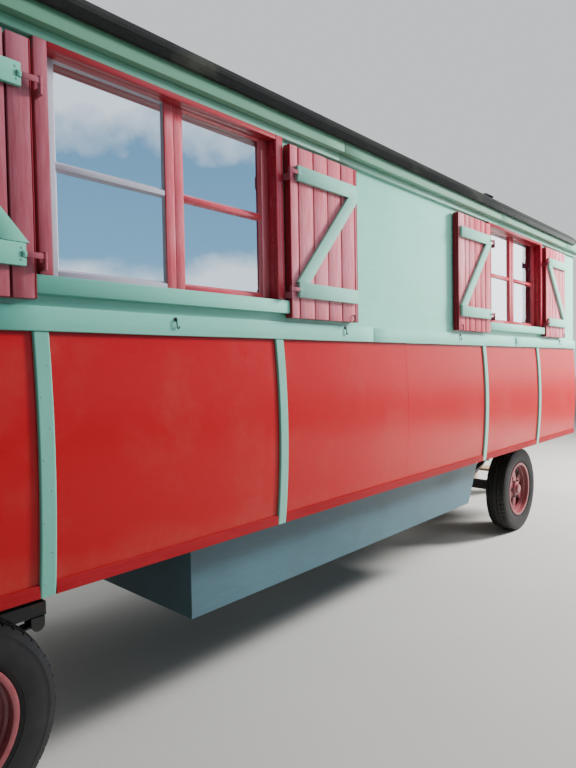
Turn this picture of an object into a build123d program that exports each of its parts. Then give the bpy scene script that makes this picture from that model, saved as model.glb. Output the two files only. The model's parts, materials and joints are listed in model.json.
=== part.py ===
from build123d import *
import os
from math import asin, atan2, cos, degrees, hypot, radians, sin, sqrt

os.makedirs("parts", exist_ok=True)

# A living wagon on four wheels. +X points to its rear, -Y to its left side, +Z up, and the ground is z = 0.
# Body shell
sheet_pitch = 1220.0
body_length = 7060.0
body_width = 2300.0
wall_thickness = 70.0
lower_wall_height = 940.0
upper_wall_height = 1145.0
belt_height = 88.0
belt_out = 18.0
frieze_height = 37.0
frieze_out = 22.0
fascia_height = 96.0
fascia_out = 60.0
board_joint = 1.0

# Lower panels, which belly outwards between the belt and the foot
bow_out = 24.0
bow_above_foot = 545.0
foot_in = 4.0
batten_width = 58.0
batten_out = 12.0
batten_shift = -49.0
rail_height = 48.0
rail_out = 10.0

# Roof, a barrel that also falls towards both ends, with a sloping rim and rounded corners
roof_overhang = 25.0
roof_lip = 14.0
roof_rise = 300.0
roof_edge_rise = 35.0
roof_rim_lean = 40.0
roof_corner_radius = 280.0
roof_end_run = 1900.0
roof_end_lift = 8.0
roof_thickness = 45.0
roof_drip = 39.0
roof_drip_thickness = 20.0
vent_from_rear = 1280.0
vent_from_side = 450.0
vent_radius = 55.0
vent_height = 150.0
vent_cap_radius = 85.0
vent_cap_height = 40.0
vent_sink = 105.0

# Floor and chassis
floor_thickness = 60.0
wall_below_floor = 20.0
bearer_height = 45.0
bearer_width = 60.0
bearer_count = 9
beam_height = 120.0
beam_flange = 55.0
beam_web = 8.0
beam_outer_y = 480.0
beam_front_inset = 130.0
beam_rear_inset = 90.0
cross_width = 60.0
cross_height = 80.0
middle_member_count = 2
jacking_pad_length = 110.0
jacking_pad_thickness = 10.0
front_pad_from_axle = 760.0
rear_pad_from_axle = 700.0

# Belly box between the axles
box_from_front_axle = 1043.0
box_from_rear_axle = 960.0
box_rear_rake = 187.0
box_depth = 344.0
box_half_width = 1028.0
box_panel = 20.0
box_beam_clearance = 3.0

# Wheels
tyre_diameter = 805.0
tyre_width = 195.0
wheel_headroom = 15.0
tyre_seat_clearance = 0.3
tyre_bead_inset = 31.5
tyre_shoulder_drop = 18.5
tyre_shoulder_inset = 11.5
tread_inset = 29.5
rim_seat_radius = 240.0
rim_flange_height = 16.0
rim_side_gap = 14.0
rim_wall = 10.0
rim_flange_wall = 8.0
track = 1866.0
rear_axle_from_rear = 1240.0
front_axle_from_front = 730.0
hub_radius = 68.0
hub_inner = 80.0
hub_outer = 62.0
hub_cap_radius = 46.0
hub_cap_length = 22.0
spindle_radius = 30.0
spindle_clearance = 0.05
disc_thickness = 16.0
disc_offset = 20.0
spoke_count = 6
opening_inner_radius = 100.0
opening_outer_radius = 205.0
opening_inner_width = 34.0
opening_outer_width = 130.0
opening_fillet = 14.0

# Axles and leaf springs
axle_section = 80.0
axle_end_gap = 6.0
leaf_count = 5
leaf_thickness = 9.0
leaf_width = 60.0
leaf_length = 1000.0
spring_eye_radius = 16.0
hanger_plate = 8.0
hanger_width = 60.0
clamp_plate = 10.0
clamp_bite = 2.0
clamp_rod_radius = 7.0
clamp_rod_gap = 1.0
clamp_nut_radius = 12.0
clamp_nut_height = 12.0
rear_spring_y = 452.0
rear_camber = 105.0
front_spring_y = 600.0
front_camber = 42.0

# Turntable and fore-carriage
ring_outer_radius = 480.0
ring_inner_radius = 410.0
ring_height = 40.0
ring_gap = 2.0
fore_rail_width = 60.0
fore_rail_height = 60.0
fore_rail_front = 560.0
fore_rail_rear = 540.0
fore_cross_width = 90.0
fore_cross_x = 400.0

# Drawbar, which lies with its eye on the ground
hinge_from_axle = 700.0
hinge_y = 150.0
lug_thickness = 16.0
lug_radius = 30.0
lug_clearance = 5.0
pin_radius = 14.0
pin_clearance = 0.05
drawbar_length = 1800.0
drawbar_tube = 60.0
drawbar_neck = 260.0
drawbar_neck_width = 68.0
drawbar_parallel = 140.0
drawbar_fork = 240.0
drawbar_brace_x = 620.0
drawbar_brace_width = 50.0
eye_outer_radius = 58.0
eye_bore_radius = 26.0
eye_thickness = 34.0

# Windows: a casing that stands proud, two sashes set back behind it, and a sill
window_from_end = 1665.0
window_width = 1257.0
casing_width = 50.0
casing_head = 25.0
casing_out = 25.0
sash_recess = 35.0
sash_below_sill = 18.0
sash_behind_head = 25.0
stile_width = 48.0
rail_width = 48.0
glazing_bar = 22.0
glass_thickness = 5.0
sill_above_belt = 107.0
sill_height = 66.0
sill_out = 40.0
sill_horn = 20.0
frame_rim = 25.0

# Shutters, folded back flat against the wall
shutter_width = 575.0
shutter_above_belt = 19.0
shutter_below_frieze = 30.0
shutter_off_wall = 6.0
board_thickness = 44.0
ledge_thickness = 20.0
board_count = 5
groove_width = 5.0
groove_depth = 4.0
ledge_width = 78.0
top_ledge_inset = 141.0
bottom_ledge_inset = 144.0
ledge_hinge_inset = 40.0
ledge_free_inset = 22.0
brace_width = 72.0
shutter_axis_out = 68.0
shutter_axis_gap = 22.0
knuckle_radius = 8.0
knuckle_height = 30.0
knuckle_gap = 1.0
strap_length = 170.0
strap_height = 26.0
strap_thickness = 4.0

# Door in the rear end
door_width = 760.0
door_below_frieze = 17.0
door_gap = 5.0
door_thickness = 45.0
door_jamb = 45.0
door_stop = 12.0
door_casing_reveal = 15.0
door_casing_width = 60.0
door_casing_out = 18.0
door_axis_out = 10.0
door_axis_gap = 8.0
door_hinge_count = 3
door_hinge_height = 50.0
door_strap_length = 90.0
door_strap_thickness = 5.0
door_panel_recess = 12.0
door_stile = 110.0
door_light_height = 640.0
door_lock_rail = 130.0
handle_rose_radius = 24.0
handle_radius = 9.0
handle_out = 48.0
handle_length = 110.0

# Entrance steps
step_count = 3
step_going = 250.0
step_width = 700.0
tread_thickness = 32.0
stringer_thickness = 36.0
stringer_depth = 150.0
step_hook_width = 40.0
step_hook_thickness = 8.0

# Curtain behind the rear window of the left side
curtain_width = 250.0
curtain_thickness = 30.0
curtain_off_wall = 40.0
curtain_below_sash = 50.0
curtain_rod_radius = 8.0
curtain_rod_above_sash = 28.0
curtain_edge = 20.0

half_width = body_width / 2
half_length = body_length / 2
wheel_radius = tyre_diameter / 2

# Heights, stacked up from the wheels
beam_top = tyre_diameter + wheel_headroom
beam_bottom = beam_top - beam_height
floor_bottom = beam_top + bearer_height
floor_top = floor_bottom + floor_thickness
wall_bottom = floor_bottom - wall_below_floor
bow_z = wall_bottom + bow_above_foot
belt_z = wall_bottom + lower_wall_height
belt_top = belt_z + belt_height
eaves_z = belt_z + upper_wall_height
frieze_bottom = eaves_z - fascia_height - frieze_height
sill_top = belt_top + sill_above_belt
sash_bottom = sill_top - sash_below_sill
sash_top = frieze_bottom + sash_behind_head

inner_half_width = half_width - wall_thickness
inner_half_length = half_length - wall_thickness
fore_ring_top = beam_bottom - ring_height - ring_gap
fore_rail_top = fore_ring_top - ring_height
fore_rail_bottom = fore_rail_top - fore_rail_height
hinge_z = (fore_rail_top + fore_rail_bottom) / 2

# The drawbar's slope follows from its length and the height of its hinge, so that the eye touches the ground
drawbar_reach = drawbar_length + eye_outer_radius
drawbar_slope = asin(hinge_z / hypot(drawbar_reach, eye_thickness / 2)) - atan2(
    eye_thickness / 2, drawbar_reach
)
front_reach = (
    half_length
    - front_axle_from_front
    + hinge_from_axle
    + drawbar_reach * cos(drawbar_slope)
    + eye_thickness / 2 * sin(drawbar_slope)
)
rear_reach = half_length + step_hook_thickness + step_count * step_going
# The whole length, drawbar and steps included, is centred on the origin
middle_x = (front_reach - rear_reach) / 2
front_x = middle_x - half_length
rear_x = middle_x + half_length
front_axle_x = front_x + front_axle_from_front
rear_axle_x = rear_x - rear_axle_from_rear
window_from_middle = half_length - window_from_end

# One plane for each window: x along the wall, y up, normal outwards
left_windows = [
    Plane(origin=(middle_x + offset, -half_width, 0), x_dir=(1, 0, 0), z_dir=(0, -1, 0))
    for offset in (-window_from_middle, window_from_middle)
]
right_windows = [
    Plane(origin=(middle_x + offset, half_width, 0), x_dir=(-1, 0, 0), z_dir=(0, 1, 0))
    for offset in (-window_from_middle, window_from_middle)
]
front_windows = [Plane(origin=(front_x, 0, 0), x_dir=(0, -1, 0), z_dir=(-1, 0, 0))]
all_windows = left_windows + right_windows + front_windows
opening_bottom = sash_bottom - frame_rim
opening_top = sash_top + frame_rim
opening_height = opening_top - opening_bottom
opening_z = (opening_top + opening_bottom) / 2

# Lower side walls: flat inside, one gentle arc outside
with BuildSketch() as lower_section:
    with BuildLine():
        ThreePointArc(
            (-half_width, belt_z),
            (-half_width - bow_out, bow_z),
            (-half_width + foot_in, wall_bottom),
        )
        Polyline(
            (-half_width + foot_in, wall_bottom),
            (-inner_half_width, wall_bottom),
            (-inner_half_width, belt_z),
            (-half_width, belt_z),
        )
    make_face()

with BuildPart() as left_lower_wall:
    with BuildSketch(Plane.YZ.offset(front_x)):
        add(lower_section.sketch)
    extrude(amount=body_length)
left_lower_wall.part.label = "left_lower_wall"
export_step(left_lower_wall.part, "parts/left_lower_wall.step")

with BuildPart() as right_lower_wall:
    mirror(left_lower_wall.part, about=Plane.XZ)
right_lower_wall.part.label = "right_lower_wall"
export_step(right_lower_wall.part, "parts/right_lower_wall.step")

# Upper side walls, plumb, with an opening for each window
for side, sign, windows in (("left", -1, left_windows), ("right", 1, right_windows)):
    with BuildPart() as upper_wall:
        with BuildSketch(Plane.YZ.offset(front_x)):
            with Locations((sign * (half_width - wall_thickness / 2), (belt_z + eaves_z) / 2)):
                Rectangle(wall_thickness, eaves_z - belt_z)
        extrude(amount=body_length)
        for window in windows:
            with BuildSketch(window):
                with Locations((0, opening_z)):
                    Rectangle(window_width, opening_height)
            extrude(amount=-wall_thickness, mode=Mode.SUBTRACT)
    upper_wall.part.label = f"{side}_upper_wall"
    export_step(upper_wall.part, f"parts/{side}_upper_wall.step")

# End walls stand between the side walls
with BuildPart() as front_lower_wall:
    with BuildSketch(Plane.YZ.offset(front_x)):
        with Locations((0, (wall_bottom + belt_z) / 2)):
            Rectangle(2 * inner_half_width, belt_z - wall_bottom)
    extrude(amount=wall_thickness)
front_lower_wall.part.label = "front_lower_wall"
export_step(front_lower_wall.part, "parts/front_lower_wall.step")

with BuildPart() as front_upper_wall:
    with BuildSketch(Plane.YZ.offset(front_x)):
        with Locations((0, (belt_z + eaves_z) / 2)):
            Rectangle(2 * inner_half_width, eaves_z - belt_z)
    extrude(amount=wall_thickness)
    with BuildSketch(front_windows[0]):
        with Locations((0, opening_z)):
            Rectangle(window_width, opening_height)
    extrude(amount=-wall_thickness, mode=Mode.SUBTRACT)
front_upper_wall.part.label = "front_upper_wall"
export_step(front_upper_wall.part, "parts/front_upper_wall.step")

# The rear end is split by the doorway
door_bottom = floor_top + door_gap
door_top = frieze_bottom - door_below_frieze
door_height = door_top - door_bottom
doorway_half = door_width / 2 + door_gap + door_jamb
doorway_top = door_top + door_gap + door_jamb
side_panel = inner_half_width - doorway_half
with BuildPart() as rear_lower_wall:
    with BuildSketch(Plane.YZ.offset(rear_x)):
        with Locations(
            (-doorway_half - side_panel / 2, (wall_bottom + belt_z) / 2),
            (doorway_half + side_panel / 2, (wall_bottom + belt_z) / 2),
        ):
            Rectangle(side_panel, belt_z - wall_bottom)
    extrude(amount=-wall_thickness)
rear_lower_wall.part.label = "rear_lower_wall"
export_step(rear_lower_wall.part, "parts/rear_lower_wall.step")

with BuildPart() as rear_upper_wall:
    with BuildSketch(Plane.YZ.offset(rear_x)):
        with Locations((0, (belt_z + eaves_z) / 2)):
            Rectangle(2 * inner_half_width, eaves_z - belt_z)
        with Locations((0, (belt_z + doorway_top) / 2)):
            Rectangle(2 * doorway_half, doorway_top - belt_z, mode=Mode.SUBTRACT)
    extrude(amount=-wall_thickness)
rear_upper_wall.part.label = "rear_upper_wall"
export_step(rear_upper_wall.part, "parts/rear_upper_wall.step")

# Battens over the sheet joints; the middle joint of each side has none
batten_places = [middle_x + bays * sheet_pitch + batten_shift for bays in (-2, -1, 1, 2)]
with BuildPart() as battens:
    for place in batten_places:
        with BuildSketch(Plane.YZ.offset(place - batten_width / 2)):
            with BuildLine():
                ThreePointArc(
                    (-half_width - batten_out, belt_z),
                    (-half_width - bow_out - batten_out, bow_z),
                    (-half_width + foot_in - batten_out, wall_bottom),
                )
                Polyline(
                    (-half_width + foot_in - batten_out, wall_bottom),
                    (-half_width + wall_thickness / 2, wall_bottom),
                    (-half_width + wall_thickness / 2, belt_z),
                    (-half_width - batten_out, belt_z),
                )
            make_face()
            add(lower_section.sketch, mode=Mode.SUBTRACT)
        extrude(amount=batten_width)
    mirror(about=Plane.XZ)
battens.part.label = "battens"
export_step(battens.part, "parts/battens.step")

# Bottom rail along the foot of each side, between the battens
with BuildPart() as bottom_rails:
    with BuildSketch(Plane.YZ.offset(front_x)):
        with Locations((-half_width, wall_bottom + rail_height / 2)):
            Rectangle(2 * rail_out, rail_height)
        add(lower_section.sketch, mode=Mode.SUBTRACT)
    extrude(amount=body_length)
    for place in batten_places:
        with BuildSketch(Plane.YZ.offset(place - batten_width / 2)):
            with Locations((-half_width, wall_bottom + rail_height / 2)):
                Rectangle(4 * rail_out, 2 * rail_height)
        extrude(amount=batten_width, mode=Mode.SUBTRACT)
    mirror(about=Plane.XZ)
bottom_rails.part.label = "bottom_rails"
export_step(bottom_rails.part, "parts/bottom_rails.step")

# Belt and fascia go round the body as boards: a long one on each side, a short one on each end
casing_half = door_width / 2 + door_gap + door_casing_reveal + door_casing_width
end_half = half_width - board_joint
rear_board = end_half - casing_half
with BuildPart() as belt_board:
    with BuildSketch(Plane.XY.offset(belt_z)):
        with Locations((middle_x, 0)), GridLocations(0, body_width + belt_out, 1, 2):
            Rectangle(body_length + 2 * belt_out, belt_out)
        with Locations((front_x - belt_out / 2, 0)):
            Rectangle(belt_out, 2 * end_half)
        with Locations((rear_x + belt_out / 2, 0)), GridLocations(0, 2 * casing_half + rear_board, 1, 2):
            Rectangle(belt_out, rear_board)
    extrude(amount=belt_height)
belt_board.part.label = "belt_board"
export_step(belt_board.part, "parts/belt_board.step")

with BuildPart() as fascia:
    for bottom, top, out in (
        (frieze_bottom, frieze_bottom + frieze_height, frieze_out),
        (frieze_bottom + frieze_height, eaves_z, fascia_out),
    ):
        with BuildSketch(Plane.XY.offset(bottom)):
            with Locations((middle_x, 0)), GridLocations(0, body_width + out, 1, 2):
                Rectangle(body_length + 2 * out, out)
            with Locations((middle_x, 0)), GridLocations(body_length + out, 0, 2, 1):
                Rectangle(out, 2 * end_half)
        extrude(amount=top - bottom)
fascia.part.label = "fascia"
export_step(fascia.part, "parts/fascia.step")

# Roof: the barrel along the body, met by a long arc over each end and by a sloping rim all round.
# The long arcs start a little above the barrel, so that the two meet in a clean curve.
roof_half_width = half_width + fascia_out + roof_overhang
roof_half_length = half_length + fascia_out + roof_overhang
lip_z = eaves_z + roof_lip
ridge_z = lip_z + roof_rise
edge_z = lip_z + roof_edge_rise
crown = roof_rise - roof_edge_rise
barrel_radius = (roof_half_width**2 + crown**2) / (2 * crown)
end_crown = crown + roof_end_lift
end_ridge_z = ridge_z + roof_end_lift
end_radius = (roof_end_run**2 + end_crown**2) / (2 * end_crown)
flat_half = roof_half_length - roof_end_run
end_mid_z = end_ridge_z - end_radius + sqrt(end_radius**2 - (roof_end_run / 2) ** 2)
inner_edge_z = ridge_z - barrel_radius + sqrt(barrel_radius**2 - inner_half_width**2) - roof_thickness
inner_run = inner_half_length - flat_half
inner_end_z = end_ridge_z - end_radius + sqrt(end_radius**2 - inner_run**2) - roof_thickness
inner_ridge_z = ridge_z - roof_thickness
inner_level_z = end_ridge_z - roof_thickness
with BuildPart() as roof_form:
    with BuildSketch(Plane.XY.offset(lip_z)):
        with Locations((middle_x, 0)):
            RectangleRounded(2 * roof_half_length, 2 * roof_half_width, roof_corner_radius)
    extrude(amount=roof_rise, taper=roof_rim_lean)
    with BuildSketch(Plane.XY.offset(eaves_z)):
        with Locations((middle_x, 0)):
            RectangleRounded(2 * roof_half_length, 2 * roof_half_width, roof_corner_radius)
    extrude(amount=roof_lip)
    with BuildSketch(Plane.YZ.offset(middle_x - roof_half_length)):
        with BuildLine():
            Polyline(
                (roof_half_width, edge_z),
                (roof_half_width, eaves_z),
                (-roof_half_width, eaves_z),
                (-roof_half_width, edge_z),
            )
            ThreePointArc((-roof_half_width, edge_z), (0, ridge_z), (roof_half_width, edge_z))
        make_face()
    extrude(amount=2 * roof_half_length, mode=Mode.INTERSECT)
    with BuildSketch(Plane.XZ.offset(-roof_half_width)):
        with BuildLine():
            Polyline(
                (middle_x + roof_half_length, edge_z),
                (middle_x + roof_half_length, eaves_z),
                (middle_x - roof_half_length, eaves_z),
                (middle_x - roof_half_length, edge_z),
            )
            ThreePointArc(
                (middle_x - roof_half_length, edge_z),
                (middle_x - flat_half - roof_end_run / 2, end_mid_z),
                (middle_x - flat_half, end_ridge_z),
            )
            Line((middle_x - flat_half, end_ridge_z), (middle_x + flat_half, end_ridge_z))
            ThreePointArc(
                (middle_x + flat_half, end_ridge_z),
                (middle_x + flat_half + roof_end_run / 2, end_mid_z),
                (middle_x + roof_half_length, edge_z),
            )
        make_face()
    extrude(amount=2 * roof_half_width, mode=Mode.INTERSECT)
    drip_length = 2 * (roof_half_length - roof_corner_radius)
    drip_width = 2 * (roof_half_width - roof_corner_radius)
    with BuildSketch(Plane.XY.offset(eaves_z - roof_drip)):
        with Locations((middle_x, 0)), GridLocations(0, 2 * roof_half_width - roof_drip_thickness, 1, 2):
            Rectangle(drip_length, roof_drip_thickness)
        with Locations((middle_x, 0)), GridLocations(2 * roof_half_length - roof_drip_thickness, 0, 2, 1):
            Rectangle(roof_drip_thickness, drip_width)
    extrude(amount=roof_drip)

# The hollow under the roof, cut with the inner pair of sections
with BuildPart() as ceiling:
    with BuildSketch(Plane.YZ.offset(middle_x - inner_half_length)):
        with BuildLine():
            Polyline(
                (inner_half_width, inner_edge_z),
                (inner_half_width, eaves_z),
                (-inner_half_width, eaves_z),
                (-inner_half_width, inner_edge_z),
            )
            ThreePointArc(
                (-inner_half_width, inner_edge_z), (0, inner_ridge_z), (inner_half_width, inner_edge_z)
            )
        make_face()
    extrude(amount=2 * inner_half_length)
    with BuildSketch(Plane.XZ.offset(-inner_half_width)):
        with BuildLine():
            Polyline(
                (middle_x + inner_half_length, inner_end_z),
                (middle_x + inner_half_length, eaves_z),
                (middle_x - inner_half_length, eaves_z),
                (middle_x - inner_half_length, inner_end_z),
            )
            Line((middle_x - inner_half_length, inner_end_z), (middle_x - flat_half, inner_level_z))
            Line((middle_x - flat_half, inner_level_z), (middle_x + flat_half, inner_level_z))
            Line((middle_x + flat_half, inner_level_z), (middle_x + inner_half_length, inner_end_z))
        make_face()
    extrude(amount=2 * inner_half_width, mode=Mode.INTERSECT)

with BuildPart() as roof:
    add(roof_form.part)
    add(ceiling.part, mode=Mode.SUBTRACT)
roof.part.label = "roof"
export_step(roof.part, "parts/roof.step")

# Stove pipe with its rain cap, through the roof
vent_x = rear_x - vent_from_rear
vent_y = vent_from_side - half_width
vent_top_z = ridge_z + vent_height - vent_sink
with BuildPart() as roof_vent:
    with BuildSketch(Plane.XY.offset(ridge_z - vent_sink)):
        with Locations((vent_x, vent_y)):
            Circle(vent_radius)
    extrude(amount=vent_height)
    with BuildSketch(Plane.XY.offset(vent_top_z)):
        with Locations((vent_x, vent_y)):
            Circle(vent_cap_radius)
    with BuildSketch(Plane.XY.offset(vent_top_z + vent_cap_height)):
        with Locations((vent_x, vent_y)):
            Circle(vent_cap_radius / 3)
    loft()
    add(roof.part, mode=Mode.SUBTRACT)
roof_vent.part.label = "roof_vent"
export_step(roof_vent.part, "parts/roof_vent.step")

# Window frames: lining in the wall and casing proud of it; the head hides the sash behind it
with BuildPart() as window_frames:
    for window in all_windows:
        with BuildSketch(window.offset(-sash_recess)):
            with Locations((0, opening_z)):
                Rectangle(window_width, opening_height)
            with Locations((0, (sash_bottom + sash_top) / 2)):
                Rectangle(window_width - 2 * casing_width, sash_top - sash_bottom, mode=Mode.SUBTRACT)
        extrude(amount=-(wall_thickness - sash_recess))
        light_top = frieze_bottom - casing_head
        with BuildSketch(window):
            with Locations((0, opening_z)):
                Rectangle(window_width, opening_height)
            with Locations((0, (sash_bottom + light_top) / 2)):
                Rectangle(window_width - 2 * casing_width, light_top - sash_bottom, mode=Mode.SUBTRACT)
        extrude(amount=-sash_recess)
        with BuildSketch(window):
            with Locations((0, (sill_top + frieze_bottom) / 2)):
                Rectangle(window_width, frieze_bottom - sill_top)
            with Locations((0, (sill_top + light_top) / 2)):
                Rectangle(window_width - 2 * casing_width, light_top - sill_top, mode=Mode.SUBTRACT)
        extrude(amount=casing_out)
window_frames.part.label = "window_frames"
export_step(window_frames.part, "parts/window_frames.step")

# Two sashes to a window, each divided by one bar, and the panes that fill them
sash_width = window_width / 2 - casing_width
sash_height = sash_top - sash_bottom
pane_width = sash_width - 2 * stile_width
pane_height = (sash_height - 2 * rail_width - glazing_bar) / 2
sash_z = (sash_top + sash_bottom) / 2
pane_shift = (pane_height + glazing_bar) / 2
with BuildPart() as sashes:
    for window in all_windows:
        with BuildSketch(window.offset(-sash_recess)):
            with Locations((0, sash_z)):
                Rectangle(2 * sash_width, sash_height)
            with Locations((0, sash_z)), GridLocations(sash_width, 2 * pane_shift, 2, 2):
                Rectangle(pane_width, pane_height, mode=Mode.SUBTRACT)
        extrude(amount=-(wall_thickness - sash_recess))
sashes.part.label = "sashes"
export_step(sashes.part, "parts/sashes.step")

with BuildPart() as window_glass:
    for window in all_windows:
        with BuildSketch(window.offset(-(sash_recess + wall_thickness) / 2)):
            with Locations((0, sash_z)), GridLocations(sash_width, 2 * pane_shift, 2, 2):
                Rectangle(pane_width, pane_height)
        extrude(amount=glass_thickness / 2, both=True)
window_glass.part.label = "window_glass"
export_step(window_glass.part, "parts/window_glass.step")

# Sills under the casings, with a horn at each end
with BuildPart() as window_sills:
    for window in all_windows:
        with BuildSketch(window):
            with Locations((0, sill_top - sill_height / 2)):
                Rectangle(window_width + 2 * sill_horn, sill_height)
        extrude(amount=sill_out)
window_sills.part.label = "window_sills"
export_step(window_sills.part, "parts/window_sills.step")

# Floor between the walls, on cross bearers
with BuildPart() as floor:
    with BuildSketch(Plane.XY.offset(floor_bottom)):
        with Locations((middle_x, 0)):
            Rectangle(2 * inner_half_length, 2 * inner_half_width)
    extrude(amount=floor_thickness)
floor.part.label = "floor"
export_step(floor.part, "parts/floor.step")

bearer_pitch = (2 * inner_half_length - bearer_width) / (bearer_count - 1)
with BuildPart() as cross_bearers:
    with BuildSketch(Plane.XY.offset(beam_top)):
        with Locations((middle_x, 0)), GridLocations(bearer_pitch, 0, bearer_count, 1):
            Rectangle(bearer_width, 2 * inner_half_width)
    extrude(amount=bearer_height)
cross_bearers.part.label = "cross_bearers"
export_step(cross_bearers.part, "parts/cross_bearers.step")

# Two channel beams, open towards each other, with cross members between them
beam_front_x = front_x + beam_front_inset
beam_length = body_length - beam_front_inset - beam_rear_inset
beam_mid_z = (beam_top + beam_bottom) / 2
ring_member_x = front_axle_x + ring_outer_radius - cross_width
spring_member_x = rear_axle_x - leaf_length / 2
member_gap = (spring_member_x - ring_member_x) / (middle_member_count + 1)
cross_members = [
    beam_front_x + cross_width / 2,
    front_axle_x - ring_outer_radius + cross_width,
    *(ring_member_x + index * member_gap for index in range(middle_member_count + 2)),
    rear_axle_x + leaf_length / 2,
    beam_front_x + beam_length - cross_width / 2,
]
jacking_pads = [
    (x, side * (beam_outer_y - beam_flange / 2))
    for x in (front_axle_x + front_pad_from_axle, rear_axle_x + rear_pad_from_axle)
    for side in (-1, 1)
]
with BuildPart() as chassis_frame:
    with BuildSketch(Plane.YZ.offset(beam_front_x)):
        for sign in (-1, 1):
            with Locations((sign * (beam_outer_y - beam_flange / 2), beam_mid_z)):
                Rectangle(beam_flange, beam_height)
            with Locations((sign * (beam_outer_y - (beam_flange + beam_web) / 2), beam_mid_z)):
                Rectangle(beam_flange - beam_web, beam_height - 2 * beam_web, mode=Mode.SUBTRACT)
    extrude(amount=beam_length)
    for x in cross_members:
        with BuildSketch(Plane.YZ.offset(x - cross_width / 2)):
            with Locations((0, beam_bottom + cross_height / 2)):
                Rectangle(2 * (beam_outer_y - beam_web), cross_height)
        extrude(amount=cross_width)
    with BuildSketch(Plane.XY.offset(beam_bottom - jacking_pad_thickness)):
        with Locations(*jacking_pads):
            Rectangle(jacking_pad_length, beam_flange)
    extrude(amount=jacking_pad_thickness)
chassis_frame.part.label = "chassis_frame"
export_step(chassis_frame.part, "parts/chassis_frame.step")

# Belly box: thin panels hung under the bearers, notched round the beams
box_front_x = front_axle_x + box_from_front_axle
box_rear_x = rear_axle_x - box_from_rear_axle
box_bottom = beam_top - box_depth
with BuildPart() as belly_box:
    for inset, mode in ((0, Mode.ADD), (box_panel, Mode.SUBTRACT)):
        with BuildSketch(Plane.XZ.offset(-(box_half_width - inset))):
            with BuildLine():
                Polyline(
                    (box_front_x + inset, beam_top),
                    (box_front_x + inset, box_bottom + inset),
                    (box_rear_x - box_rear_rake - inset, box_bottom + inset),
                    (box_rear_x - inset, beam_top),
                    close=True,
                )
            make_face()
        extrude(amount=2 * (box_half_width - inset), mode=mode)
    with BuildSketch(Plane.YZ.offset(box_front_x - box_panel)):
        for sign in (-1, 1):
            with Locations((sign * (beam_outer_y - beam_flange / 2), beam_mid_z)):
                Rectangle(beam_flange + 2 * box_beam_clearance, beam_height + 2 * box_beam_clearance)
    extrude(amount=box_rear_x - box_front_x + 2 * box_panel, mode=Mode.SUBTRACT)
belly_box.part.label = "belly_box"
export_step(belly_box.part, "parts/belly_box.step")

# Wheels: a tyre and a spoked wheel with its hub, on each end of both axles
corners = [
    ("front_left", front_axle_x, -1),
    ("front_right", front_axle_x, 1),
    ("rear_left", rear_axle_x, -1),
    ("rear_right", rear_axle_x, 1),
]
tyre_half = tyre_width / 2
tyre_bead_half = tyre_half - tyre_bead_inset
tyre_bead_radius = rim_seat_radius + tyre_seat_clearance
tyre_belly_radius = (tyre_bead_radius + wheel_radius) / 2
tyre_shoulder_half = tyre_half - tyre_shoulder_inset
tyre_shoulder_radius = wheel_radius - tyre_shoulder_drop
tread_half = tyre_half - tread_inset
rim_half = tyre_bead_half + rim_side_gap
rim_inner_radius = rim_seat_radius - rim_wall
rim_flange_radius = rim_seat_radius + rim_flange_height

# One opening between two spokes, wider towards the rim
with BuildSketch() as wheel_opening:
    with BuildLine():
        Polyline(
            (opening_inner_radius, -opening_inner_width / 2),
            (opening_outer_radius, -opening_outer_width / 2),
            (opening_outer_radius, opening_outer_width / 2),
            (opening_inner_radius, opening_inner_width / 2),
            close=True,
        )
    make_face()
    fillet(wheel_opening.vertices(), opening_fillet)

for corner, axle_x, side in corners:
    centre = (axle_x, side * track / 2, wheel_radius)
    hub_section = Plane(origin=centre, x_dir=(0, side, 0), z_dir=(1, 0, 0))
    hub_axis = Axis(centre, (0, 1, 0))
    hub_face = Plane(origin=centre, x_dir=(1, 0, 0), z_dir=(0, side, 0))
    with BuildPart() as tyre:
        with BuildSketch(hub_section):
            with BuildLine():
                Polyline(
                    (tyre_bead_half, tyre_bead_radius),
                    (-tyre_bead_half, tyre_bead_radius),
                    (-tyre_half, tyre_belly_radius),
                    (-tyre_shoulder_half, tyre_shoulder_radius),
                    (-tread_half, wheel_radius),
                    (tread_half, wheel_radius),
                    (tyre_shoulder_half, tyre_shoulder_radius),
                    (tyre_half, tyre_belly_radius),
                    close=True,
                )
            make_face()
        revolve(axis=hub_axis)
    tyre.part.label = f"{corner}_tyre"
    export_step(tyre.part, f"parts/{corner}_tyre.step")

    with BuildPart() as wheel:
        with BuildSketch(hub_section):
            with Locations((0, (rim_inner_radius + rim_flange_radius) / 2)):
                Rectangle(2 * (rim_half + rim_flange_wall), rim_flange_radius - rim_inner_radius)
            with Locations((0, (rim_seat_radius + rim_flange_radius) / 2)):
                Rectangle(2 * rim_half, rim_flange_height, mode=Mode.SUBTRACT)
        revolve(axis=hub_axis)
        with BuildSketch(hub_face.offset(disc_offset)):
            Circle(rim_inner_radius)
            with PolarLocations(0, spoke_count):
                add(wheel_opening.sketch, mode=Mode.SUBTRACT)
        extrude(amount=disc_thickness)
        with BuildSketch(hub_face.offset(-hub_inner)):
            Circle(hub_radius)
        extrude(amount=hub_inner + hub_outer)
        with BuildSketch(hub_face.offset(hub_outer)):
            Circle(hub_cap_radius)
        extrude(amount=hub_cap_length, taper=18)
        with BuildSketch(hub_face.offset(-hub_inner)):
            Circle(spindle_radius + spindle_clearance)
        extrude(amount=hub_inner + hub_outer - axle_end_gap, mode=Mode.SUBTRACT)
    wheel.part.label = f"{corner}_wheel"
    export_step(wheel.part, f"parts/{corner}_wheel.step")

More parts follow.
